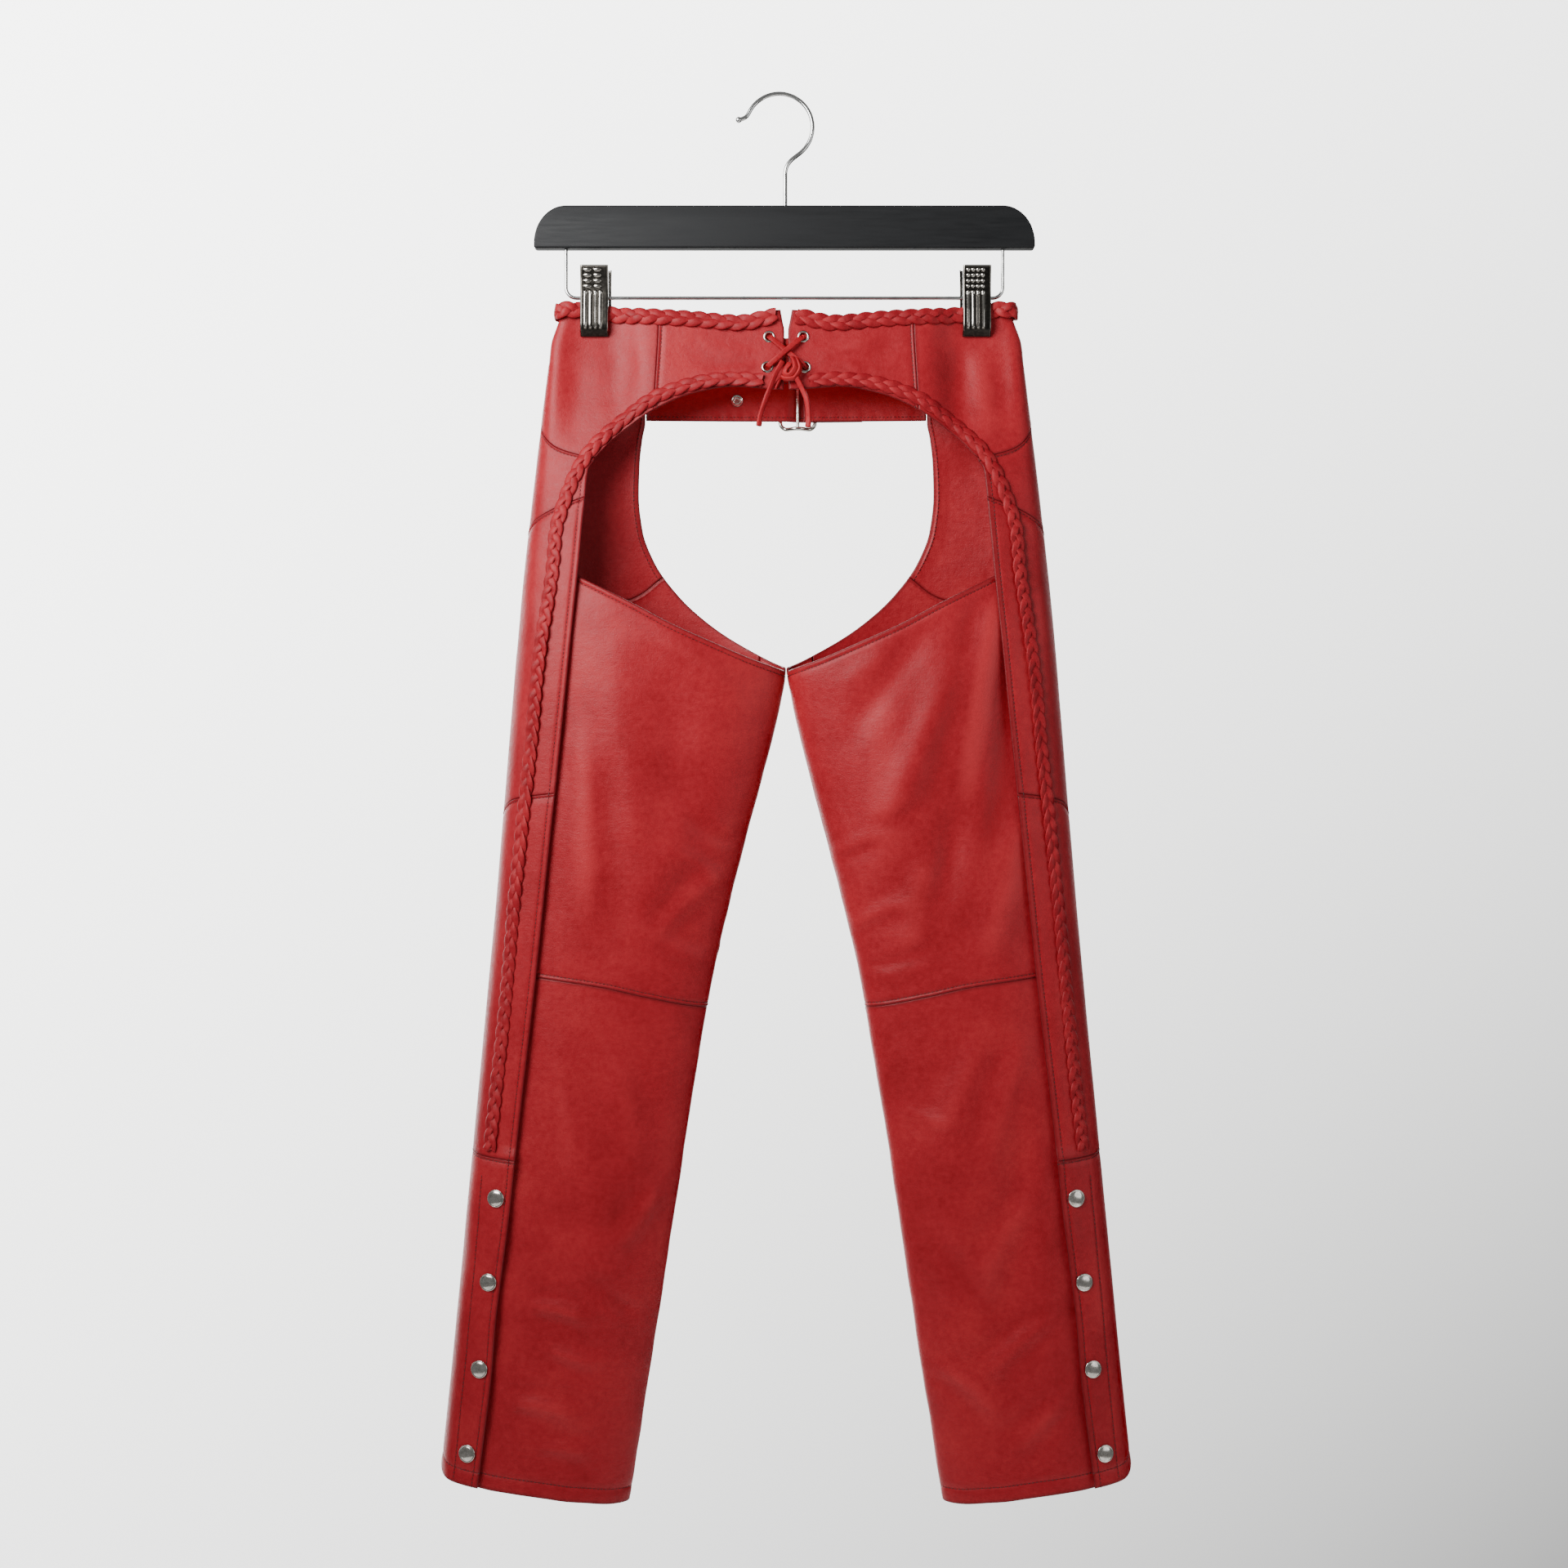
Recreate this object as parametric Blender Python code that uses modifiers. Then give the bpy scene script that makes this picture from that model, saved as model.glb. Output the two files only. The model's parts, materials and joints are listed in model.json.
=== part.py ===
# Red leather chaps hung by the waist on a clip hanger, in metres, +Z up.
# The origin is the inside top of the hanger's hook, where a rod or peg carries it.
# The laced back of the chaps faces -Y. Tables below are in millimetres; each leg is the
# mirror of the other, so a place is told by its distance from the middle line.
import math

import bmesh
import bpy
import numpy as np
from mathutils import Vector
from mathutils.bvhtree import BVHTree

MM = 0.001

# Leather
MIDDLE_X = 1.5
LEATHER = 1.5
SEAM_GAP = 0.36
FLAP_LIFT = 4.0
UNDER_FLAP = 18.0
FLAP_TUCK = 1.5
INSEAM = 0.80
INSEAM_EXTRA = 0.004
CLEAR = 0.45
SIDE_FOLD_CLEAR = 3.5

# A level of the garment: its height, how far its outer edge and its inner edge lie from
# the middle line, and how far its near and far walls stand from the middle plane.
LEVEL_COLUMNS = ("z", "outer", "inner", "near", "far")
LEVELS = (
    (-178, 192.5, 1.3, 9, 12),
    (-189, 193.2, 1.3, 9.5, 12.5),
    (-197, 195.8, 1.3, 10, 13),
    (-212, 200.8, 1.3, 11, 15),
    (-232, 203.0, 1.3, 14, 18),
    (-288, 210.0, 1.3, 22, 24),
    (-372, 219.8, 1.3, 30, 32),
    (-456, 228.5, 1.3, 34, 35),
    (-493, 231.8, 1.3, 35, 36),
    (-520, 234.0, 5.8, 35, 36),
    (-603, 240.5, 26.2, 34, 36),
    (-687, 247.8, 48.3, 32, 35),
    (-743, 253.0, 61.2, 30, 34),
    (-827, 260.8, 76.7, 28, 32),
    (-897, 267.4, 87.5, 27, 31),
    (-1037, 281.0, 108.9, 26, 29),
    (-1107, 287.8, 119.7, 26, 29),
    (-1200, 297.6, 134.6, 28, 30),
)
OPEN_ABOVE = (-488, -275)

# The free edge of the side flap, below the place where the arch of the seat meets it.
RIM_COLUMNS = ("z", "x")
RIM = (
    (-178, 162.5), (-313, 162.5), (-322, 167.5), (-349, 170.5), (-412, 176),
    (-476, 182.5), (-545, 189.3), (-660, 201.5), (-763, 212.3), (-883, 226.3),
    (-955, 234), (-1037, 244.5), (-1095, 249.5), (-1146, 255.8), (-1192, 262),
)
# Edges that run across the garment, by distance from the middle line.
EDGE_COLUMNS = ("x", "z")
WAIST = ((0, -185.5), (9, -186), (39, -191.5), (80, -188), (129, -184.6), (152, -181.9),
         (180, -178.3), (200, -178.2))
ARCH = ((0, -255), (17, -254), (46, -252), (80, -258), (108, -269.5), (128, -282),
        (148, -297.5), (157, -307), (162.5, -313))
THIGH_TOP = ((0, -493), (30, -483), (61, -470), (97, -454), (128, -437.5), (173.5, -414.5),
             (196, -403))
KNEE = ((60, -779.5), (68.7, -779), (120, -769), (155, -761), (206, -753.5), (226, -751))
BACK_HEM = ((130, -1201.5), (150, -1200.4), (170, -1197.5), (186, -1195.6), (203, -1192.6),
            (233, -1188.4), (260, -1185), (282, -1178))
FRONT_TOP = ((121, -238.6), (135, -221), (150, -201), (163, -187), (176, -183))
# Edges by height.
PLACKET = ((-256, 2.7), (-230, 2.0), (-204, 1.8), (-196, 3.2), (-184, 5.4))
YOKE_SEAM = ((-270, 112), (-256, 111.5), (-202, 108.8), (-184, 108.4))
SIDE_SEAM = ((-183, 172.5), (-400, 193), (-700, 219), (-1200, 268))
FRONT_EDGE = ((-489, 1.3), (-483, 14), (-454, 62), (-426, 93.5), (-397, 114.5), (-369, 125),
              (-340, 128), (-312, 127), (-290, 124.4), (-277, 121.9), (-238, 121.6))
# Seams across the side strip: 0 is the flap's edge, about 0.56 the side of the garment,
# 1 the seam on the far side, and 2 the inside edge of the front.
SEAM_COLUMNS = ("across", "z")
SEAMS = {
    "hip": ((0, -313), (0.25, -303), (0.56, -282), (1, -266)),
    "seat": ((0, -346), (0.3, -361), (0.56, -374.5), (1, -395), (1.5, -430), (2, -409)),
    "thigh": ((0, -597), (0.3, -602), (0.56, -614), (1, -628), (1.5, -641), (2, -646)),
    "shin": ((0, -907.5), (0.3, -904), (0.56, -900), (1, -900), (1.5, -908), (2, -914)),
    "hem": ((0, -1184), (0.3, -1179), (0.56, -1172), (1, -1177), (1.5, -1190), (2, -1198.5)),
}

# Large folds: a ridge (or a trough, with a height below nothing) along a line.
FOLD_COLUMNS = ("side", "x0", "z0", "x1", "z1", "width", "height")
FOLDS = (
    (1, 152, -470, 78, -640, 17, 5.5),
    (1, 176, -500, 128, -690, 15, -4.5),
    (1, 120, -455, 45, -560, 14, -3.5),
    (1, 150, -850, 120, -1040, 22, 3.5),
    (1, 205, -860, 182, -1080, 20, -3.0),
    (-1, 150, -480, 120, -670, 20, 3.5),
    (-1, 100, -500, 78, -640, 18, -3.0),
    (-1, 120, -700, 78, -600, 16, 3.0),
    (-1, 165, -860, 150, -1060, 22, 3.0),
    (-1, 205, -900, 190, -1100, 20, -2.5),
)

# Clips and the pinch they give the waist.
CLIP_X = 162.8
CLIP_WIDTH = 23.0
PINCH_Y = 2.2
PINCH_HALF = 32.0
PINCH_Z = (-330, -215)
CLIP_TOP = -146.5
CLIP_FOOT = -206.5
JAW = 1.1

# Plaited trim
WAIST_BRAID_WIDTH = 13.5
SIDE_BRAID_WIDTH = 12.0
PLAIT_PITCH = 13.4
PLAIT_LOW = 1.1
PLAIT_HIGH = 3.4
SIDE_BRAID = (
    (20, -248), (42, -246), (65, -247.5), (88, -252.5), (110, -261), (130, -274),
    (151, -291), (165, -305), (176, -322), (184, -340), (191, -360), (194.7, -376),
    (197, -408), (204, -456), (209.5, -503), (214, -550), (223, -630), (229.5, -695),
    (236.5, -768), (243, -830), (250.5, -899),
)

# Snaps, eyelets and lace
SNAP_COLUMNS = ("x", "z")
SNAPS = ((245, -939.5), (251.5, -1010.5), (259, -1084), (269.5, -1155.5))
SNAP_RADIUS = 7.5
SNAP_HEIGHT = 2.4
EYELETS = ((14.5, -209), (16, -235.5))
EYELET_RADIUS = 5.25
EYELET_BORE = 2.65
EYELET_WALL = 0.35
STRAP_EYELET = (-42.5, -257.5)
LACE_WIDTH = 4.0
LACE_THICKNESS = 1.5
KNOT_SIZE = (19, 9, 15)
KNOT_AT = (6, -240)
KNOT_CLEAR = 0.2
# The free ends leave the knot at an angle, and then pass through places.
LACE_ENDS = {
    "lace_end_left": 226,
    "lace_end_right": 306,
}
LACE_END_COLUMNS = ("x", "z", "proud")
LACE_END_PLACES = {
    "lace_end_left": ((-7.5, -253, 4.4), (-13, -262, 4.6), (-17.5, -271, 3.6), (-20.5, -279, 2.4),
                      (-22, -287, 2.6)),
    "lace_end_right": ((15.6, -255.5, 4.6), (18.6, -264, 4.8), (20, -272, 4.2), (20.4, -280, 3.2),
                       (19.4, -288, 3.0)),
}

# Belt strap and its buckle
STRAP_TOP = -238.6
STRAP_FOOT = -275.4
STRAP_END = 121.0
STRAP_TIP = 66.0
BUCKLE_X = 11.5
BUCKLE_SIZE = (30.0, 45.0)
BUCKLE_WIRE = 1.8
BUCKLE_MID_Z = -258.5

# Hanger
BAR_LENGTH = 428.4
BAR_TOP = -94.5
BAR_FOOT = -131.2
BAR_DEPTH = 12.0
BAR_SHOULDER = (27.5, 32.0)
BAR_ROUNDING = 1.6
HOOK_WIRE = 1.9
HOOK_RADIUS = 28.6
HOOK_CENTRE_X = -4.5
HOOK_COLUMNS = ("x", "z")
HOOK_TIP = ((-39.2, -20.1), (-36.4, -19.4), (-32.8, -17.4))
HOOK_STEM = ((4.7, -55.9), (1.5, -61.5), (0.7, -67), (0.7, BAR_TOP + 0.3))
RAIL_WIRE = 1.6
RAIL_X = 187.0
RAIL_Z = -172.9
RAIL_BEND = 9.0
BARREL = (1.95, 3.5)


def smooth_step(low, high, value):
    """0 below low, 1 above high, and a soft rise between."""
    part = min(max((value - low) / (high - low), 0.0), 1.0)
    return part * part * (3 - 2 * part)


def along(rows, key, column=1):
    """A smooth curve through a table's rows, read at a key of its first column."""
    rows = sorted(rows)
    keys = [row[0] for row in rows]
    values = [row[column] for row in rows]
    if key <= keys[0]:
        return values[0]
    if key >= keys[-1]:
        return values[-1]
    slopes = [(b - a) / (q - p) for p, q, a, b in zip(keys, keys[1:], values, values[1:])]
    i = int(np.searchsorted(keys, key, side="right")) - 1
    ends = []
    for k in (i, i + 1):
        before, after = slopes[max(k - 1, 0)], slopes[min(k, len(slopes) - 1)]
        both = before * after
        ends.append(2 * both / (before + after) if both > 0 else 0.0)
    wide = keys[i + 1] - keys[i]
    t = (key - keys[i]) / wide
    start = values[i] * (1 + 2 * t) * (1 - t) ** 2 + ends[0] * wide * t * (1 - t) ** 2
    return start + values[i + 1] * t * t * (3 - 2 * t) + ends[1] * wide * t * t * (t - 1)


def level(z):
    return {name: along(LEVELS, z, i + 1) for i, name in enumerate(LEVEL_COLUMNS[1:])}


def round_at(x, z):
    """How far round the garment a distance from the middle lies: 0 at the side, 1 inside."""
    here = level(z)
    part = (here["outer"] - x) / (here["outer"] - here["inner"])
    return math.acos(1 - 2 * min(max(part, 0.0), 1.0)) / math.pi


def fold_height(side, x, z):
    """How far the large folds lift the near wall at a place."""
    lift = 0.0
    for fold in FOLDS:
        f = dict(zip(FOLD_COLUMNS, fold))
        if f["side"] != side:
            continue
        run, rise = f["x1"] - f["x0"], f["z1"] - f["z0"]
        length = math.hypot(run, rise)
        t = ((x - f["x0"]) * run + (z - f["z0"]) * rise) / length**2
        away = ((x - f["x0"]) * rise - (z - f["z0"]) * run) / length
        ends = smooth_step(-0.15, 0.3, t) * smooth_step(-0.15, 0.3, 1 - t)
        lift += f["height"] * ends * math.exp(-((away / f["width"]) ** 2))
    return lift


def cloth(side, turn, z, strip=False):
    """A point of the leather's middle, by how far round it lies and its height."""
    if turn > 1:
        turn -= 2
    here = level(z)
    part = (1 - math.cos(math.pi * turn)) / 2
    x = here["outer"] + (here["inner"] - here["outer"]) * part
    opened = smooth_step(*OPEN_ABOVE, z)
    leg = abs(math.sin(math.pi * turn))
    waist = math.sqrt(max(1 - (1 - part) ** 2, 0.0))
    depth = here["near"] if turn >= 0 else here["far"]
    y = depth * ((1 - opened) * leg + opened * waist)
    rim = round_at(along(RIM, z), z)
    if turn >= 0 and strip:
        y += FLAP_LIFT * smooth_step(0.02, 0.15, turn) + gape(z) * smooth_step(0.6, 1, turn / rim)
    elif turn >= 0:
        inside = smooth_step(rim, 0.93, turn)
        away = (turn - rim) / 0.06
        y += fold_height(side, x, z) * smooth_step(rim, rim + 0.14, turn) * (1 - inside**3)
        y -= FLAP_TUCK * math.exp(-(away * away))
    else:
        y += fold_height(-side, x, z) * 0.8 * math.sin(math.pi * turn) ** 2
    pinch = smooth_step(*PINCH_Z, z) * math.exp(-(((x - CLIP_X) / PINCH_HALF) ** 4))
    y += (PINCH_Y - y) * pinch
    return Vector((MIDDLE_X + side * x, -y if turn >= 0 else y, z))


def gape(z):
    """The flap stands off a little between its snaps."""
    heights = [snap[1] for snap in SNAPS]
    if not heights[-1] < z < heights[0] + 40:
        return 0.0
    span = (heights[0] - heights[-1]) / (len(heights) - 1)
    return 2.2 * math.sin(math.pi * (z - heights[0]) / span) ** 2


def outward(side, turn, z, strip=False):
    """The unit normal of the leather, pointing out of the garment."""
    step = 0.008
    across = cloth(side, turn + step, z, strip) - cloth(side, turn - step, z, strip)
    up = cloth(side, turn, z + 1.5, strip) - cloth(side, turn, z - 1.5, strip)
    return (up.cross(across) * side).normalized()


def strip_turn(across, z):
    """How far round the strip's columns lie: see SEAMS for what across means."""
    if across < -1:
        start, end = round_at(along(PLACKET, z), z), round_at(along(YOKE_SEAM, z), z)
        return start + (end - start) * (across + 2)
    if across < 0:
        start, end = round_at(along(YOKE_SEAM, z), z), round_at(along(RIM, z), z)
        return start + (end - start) * (across + 1)
    seam = -round_at(along(SIDE_SEAM, z), z)
    if across <= 1:
        rim = round_at(along(RIM, z), z)
        return rim + (seam - rim) * across
    front = -min(round_at(along(FRONT_EDGE, z), z), INSEAM) if z > -489 else -INSEAM
    return seam + (front - seam) * (across - 1)


def back_turn(across, z):
    """How far round the back panel's columns lie, from under the flap to the inseam."""
    under = round_at(along(RIM, z) + UNDER_FLAP, z)
    return under + (2 - INSEAM - INSEAM_EXTRA - under) * across


def x_of(turn, z):
    here = level(z)
    return here["outer"] + (here["inner"] - here["outer"]) * (1 - math.cos(math.pi * turn)) / 2


def edge_height(rows, turn_of, across):
    """The height where a column of a panel meets an edge that is given by x."""
    z = along(rows, 100)
    for _ in range(8):
        z = along(rows, x_of(turn_of(across, z), z))
    return z


def across_seam(name):
    return lambda across: along(SEAMS[name], across)


def waist_line(across):
    if across <= 0.56:
        return edge_height(WAIST, strip_turn, across)
    return -178.2 - 4.8 * smooth_step(0.56, 1, across)


def front_top(across):
    return edge_height(FRONT_TOP, strip_turn, across)


def arch_line(across):
    return edge_height(ARCH, strip_turn, across) if across < 0 else along(SEAMS["hip"], across)


def back_edge(rows):
    return lambda across: edge_height(rows, back_turn, across)


def thigh_top(across):
    """The back panel's top edge, which rises into the front's own edge past the crotch."""
    rows = THIGH_TOP if back_turn(across, THIGH_TOP[0][1]) <= 1 else [row[::-1] for row in FRONT_EDGE[:4]]
    return edge_height(rows, back_turn, across)


PANEL_COLUMNS = ("columns", "rows", "turn", "top", "foot", "strip")
PANELS = {
    "back_yoke": ((-2, -1, 8, 0, 0), 5, strip_turn, waist_line, arch_line, True),
    "side_yoke": ((-1, 0, 4, 1, 6), 6, strip_turn, waist_line, arch_line, True),
    "side_band": ((0, 1, 6, 0, 0), 4, strip_turn, across_seam("hip"), across_seam("seat"), True),
    "front_upper": ((1, 2, 6, 0, 0), 8, strip_turn, front_top, across_seam("seat"), True),
    "front_thigh": ((0, 1, 6, 2, 6), 8, strip_turn, across_seam("seat"), across_seam("thigh"),
                    True),
    "front_shin": ((0, 1, 6, 2, 6), 8, strip_turn, across_seam("thigh"), across_seam("shin"),
                   True),
    "front_hem": ((0, 1, 6, 2, 6), 12, strip_turn, across_seam("shin"), across_seam("hem"),
                  True),
    "back_thigh": ((0, 1, 11, 0, 0), 11, back_turn, thigh_top, back_edge(KNEE),
                   False),
    "back_calf": ((0, 1, 11, 0, 0), 11, back_turn, back_edge(KNEE), back_edge(BACK_HEM), False),
}


def material(name, colour, metallic, roughness):
    made = bpy.data.materials.get(name) or bpy.data.materials.new(name)
    made.use_nodes = True
    shader = made.node_tree.nodes["Principled BSDF"]
    shader.inputs["Base Color"].default_value = (*colour, 1)
    shader.inputs["Metallic"].default_value = metallic
    shader.inputs["Roughness"].default_value = roughness
    return made


LEATHER_RED = (0.42, 0.025, 0.025)
BRAID_RED = (0.36, 0.02, 0.022)
STEEL = (0.62, 0.61, 0.58)
CLIP_STEEL = (0.2, 0.19, 0.18)
BAR_BLACK = (0.012, 0.012, 0.013)


def keep(name, mesh, colour, metallic=0.0, roughness=0.5):
    """Put a mesh in the scene as a named piece with a material of its own."""
    piece = bpy.data.objects.new(name, mesh)
    parts.objects.link(piece)
    mesh.materials.append(material(f"{name}_finish", colour, metallic, roughness))
    return piece


def grid_mesh(name, points):
    """An open surface through rows of points, in millimetres."""
    mesh = bpy.data.meshes.new(name)
    tall, wide = len(points), len(points[0])
    corners = [point * MM for row in points for point in row]
    faces = [(r * wide + c, r * wide + c + 1, (r + 1) * wide + c + 1, (r + 1) * wide + c)
             for r in range(tall - 1) for c in range(wide - 1)]
    mesh.from_pydata(corners, [], faces)
    mesh.shade_smooth()
    return mesh


def wall_mesh(name, points, normals, thickness):
    """A loft of two skins, half a thickness to each side of rows of points, closed all round.

    Neighbours share their normals along a seam, so the seam's gap stays even through the wall.
    """
    tall, wide = len(points), len(points[0])
    count = tall * wide
    corners = []
    for facing in (0.5, -0.5):
        for row, row_normals in zip(points, normals):
            corners += [(p + n * (facing * thickness)) * MM for p, n in zip(row, row_normals)]
    faces = []
    for r in range(tall - 1):
        for c in range(wide - 1):
            a, b, d, e = (r * wide + c, r * wide + c + 1, (r + 1) * wide + c + 1,
                          (r + 1) * wide + c)
            faces += [(a, e, d), (a, d, b)]
            faces += [(a + count, d + count, e + count), (a + count, b + count, d + count)]
    around = list(range(wide - 1))
    around += [r * wide + wide - 1 for r in range(tall - 1)]
    around += [(tall - 1) * wide + c for c in range(wide - 1, 0, -1)]
    around += [r * wide for r in range(tall - 1, 0, -1)]
    for here, after in zip(around, around[1:] + around[:1]):
        if corners[here].y < corners[after].y:
            faces += [(here, after, after + count), (here, after + count, here + count)]
        else:
            faces += [(here, after, here + count), (after, after + count, here + count)]
    mesh = bpy.data.meshes.new(name)
    mesh.from_pydata(corners, [], faces)
    mesh.shade_smooth()
    mesh.set_sharp_from_angle(angle=math.radians(40))
    return mesh


def steps(start, end, count):
    return [start + (end - start) * i / count for i in range(count + 1)]


def parted(rows):
    """Draw the four edges of a panel in by half a seam's gap."""
    half = SEAM_GAP / 2
    for row in rows:
        row[0] = row[0] + (row[1] - row[0]).normalized() * half
        row[-1] = row[-1] + (row[-2] - row[-1]).normalized() * half
    for column in range(len(rows[0])):
        top, foot = rows[0][column], rows[-1][column]
        rows[0][column] = top + (rows[1][column] - top).normalized() * half
        rows[-1][column] = foot + (rows[-2][column] - foot).normalized() * half
    return rows


def add_panel(side, name, letter):
    spec = dict(zip(PANEL_COLUMNS, PANELS[name]))
    start, middle, first, end, second = spec["columns"]
    columns = steps(start, middle, first) + (steps(middle, end, second)[1:] if second else [])
    edges = [(across, spec["top"](across), spec["foot"](across)) for across in columns]
    points, normals = [], []
    for down in steps(0, 1, spec["rows"]):
        places = [(across, top + (foot - top) * down) for across, top, foot in edges]
        places = [(spec["turn"](across, z), z) for across, z in places]
        points.append([cloth(side, turn, z, spec["strip"]) for turn, z in places])
        normals.append([outward(side, turn, z, spec["strip"]) for turn, z in places])
    points = parted(points)
    if (side > 0) != spec["strip"]:
        points, normals = [row[::-1] for row in points], [row[::-1] for row in normals]
    return keep(f"{name}_{letter}", wall_mesh(name, points, normals, LEATHER), LEATHER_RED)


def solid_tree(pieces):
    """The outer skins of pieces, to lay other pieces on."""
    bm = bmesh.new()
    for piece in pieces:
        seen = piece.evaluated_get(bpy.context.evaluated_depsgraph_get())
        mesh = seen.to_mesh()
        mesh.transform(piece.matrix_world)
        bm.from_mesh(mesh)
        seen.to_mesh_clear()
    tree = BVHTree.FromBMesh(bm)
    bm.free()
    return tree


def laid(tree, point, normal, reach=9.0):
    """Where a point comes to rest on the skin below it, or over a seam, level with the skin."""
    found = tree.ray_cast((point + normal * reach) * MM, -normal, (reach + LEATHER) * MM)
    return found[0] / MM if found[0] else point + normal * (LEATHER / 2)


def chain(rows, spacing):
    """Points at even spacing along a smooth curve through a table of places."""
    rows = [Vector(row) for row in rows]
    lengths = [0.0]
    for a, b in zip(rows, rows[1:]):
        lengths.append(lengths[-1] + (b - a).length)
    tables = [[(d, row[i]) for d, row in zip(lengths, rows)] for i in range(len(rows[0]))]
    count = max(round(lengths[-1] / spacing), 1)
    return [Vector([along(t, d) for t in tables]) for d in steps(0, lengths[-1], count)]


def add_braid(side, name, places, width, tree):
    """A plaited strip laid along places, each a turn round the garment and a height."""
    half_pitch = PLAIT_PITCH / 2
    middles = [cloth(side, turn, z, True) for turn, z in places]
    normals = [outward(side, turn, z, True) for turn, z in places]
    ways = []
    for i in range(len(middles)):
        way = middles[min(i + 1, len(middles) - 1)] - middles[max(i - 1, 0)]
        ways.append(way.normalized())
    top, under = [], []
    last = len(middles) - 1
    for i, (middle, normal, way) in enumerate(zip(middles, normals, ways)):
        beside = normal.cross(way) * side
        crest = i % 2 == 0 and 0 < i < last
        heights = (0.5, 0.95, 0.75, 0.95, 0.5) if crest else (0.1, 0.35, 0.45, 0.35, 0.1)
        lean = 0.0 if i in (0, last) else 0.55 * half_pitch
        reach = 0.5 * width * (1.0 if crest else 0.86)
        fold = SIDE_FOLD_CLEAR * (1 - smooth_step(0.1, 0.22, abs(places[i][0])))
        spots = [middle + beside * (v * reach) - way * ((abs(v) - 0.5) * lean)
                 for v in (-1, -0.5, 0, 0.5, 1)]
        rests = [laid(tree, spot, normal) for spot in spots]
        chord = [rests[0].lerp(rests[-1], k / 4) for k in range(5)]
        bulge = max((rest - flat).dot(normal) for rest, flat in zip(rests, chord))
        row = []
        for flat, height in zip(chord, heights):
            low = flat + normal * (bulge + CLEAR + fold)
            row.append((low, low + normal * (PLAIT_LOW + (PLAIT_HIGH - PLAIT_LOW) * height)))
        top.append([high for _, high in row])
        under.append([row[0][0], row[-1][0]])
    mesh = bpy.data.meshes.new(name)
    corners, faces = [], []
    for tops, unders in zip(top, under):
        corners += [*tops, *unders]
    for i in range(last):
        a, b = 7 * i, 7 * (i + 1)
        for v in range(4):
            faces.append((a + v, a + v + 1, b + v + 1, b + v))
        faces.append((a + 4, a + 6, b + 6, b + 4))
        faces.append((a + 6, a + 5, b + 5, b + 6))
        faces.append((a + 5, a, b, b + 5))
    faces.append((0, 5, 6, 4, 3, 2, 1))
    faces.append(tuple(7 * last + v for v in (0, 1, 2, 3, 4, 6, 5)))
    mesh.from_pydata([corner * MM for corner in corners], [], faces)
    tidy = bmesh.new()
    tidy.from_mesh(mesh)
    bmesh.ops.triangulate(tidy, faces=tidy.faces)
    bmesh.ops.recalc_face_normals(tidy, faces=tidy.faces)
    tidy.to_mesh(mesh)
    tidy.free()
    return keep(name, mesh, BRAID_RED)


def side_braid_places():
    points = chain(SIDE_BRAID, PLAIT_PITCH / 2)
    return [(round_at(x, z), z) for x, z in points]


def waist_braid_places():
    """Along the top edge, from the lacing to the side, and on to the seam on the far side."""
    drop = WAIST_BRAID_WIDTH / 2 + 0.3
    near = [(x, along(WAIST, x) - drop) for x in (8.6, 20, 39, 60, 80, 105, 129, 152, 170, 184)]
    near = [(round_at(x, z), z) for x, z in near] + [(0.06, -185.4), (0, -185.4)]
    far = [(0, -185.4), (-0.06, -185.6), (-round_at(177, -189.2), -189.2)]
    places = []
    for turns in (near, far):
        points = [cloth(1, turn, z, True) for turn, z in turns]
        distances = [0.0]
        for before, after in zip(points, points[1:]):
            distances.append(distances[-1] + (after - before).length)
        rows = [(d, turn, z) for d, (turn, z) in zip(distances, turns)]
        count = 2 * round(distances[-1] / PLAIT_PITCH)
        spots = steps(0, distances[-1], count)
        places += [(along(rows, d, 1), along(rows, d, 2)) for d in spots][bool(places):]
    return places


def turned(name, profile, at, axis, sides, colour, metallic=1.0, roughness=0.3):
    """A turned piece: a closed profile of (radius, height) round an axis through at."""
    mesh = bpy.data.meshes.new(name)
    corners = [Vector((radius, 0, height)) * MM for radius, height in profile]
    edges = [(i, (i + 1) % len(profile)) for i in range(len(profile))]
    mesh.from_pydata(corners, edges, [])
    piece = keep(name, mesh, colour, metallic, roughness)
    spin = piece.modifiers.new("turn", "SCREW")
    spin.steps = spin.render_steps = sides
    spin.use_merge_vertices = True
    spin.merge_threshold = 0.00001
    piece.location = at * MM
    piece.rotation_mode = "QUATERNION"
    piece.rotation_quaternion = Vector((0, 0, 1)).rotation_difference(axis)
    return piece


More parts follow.
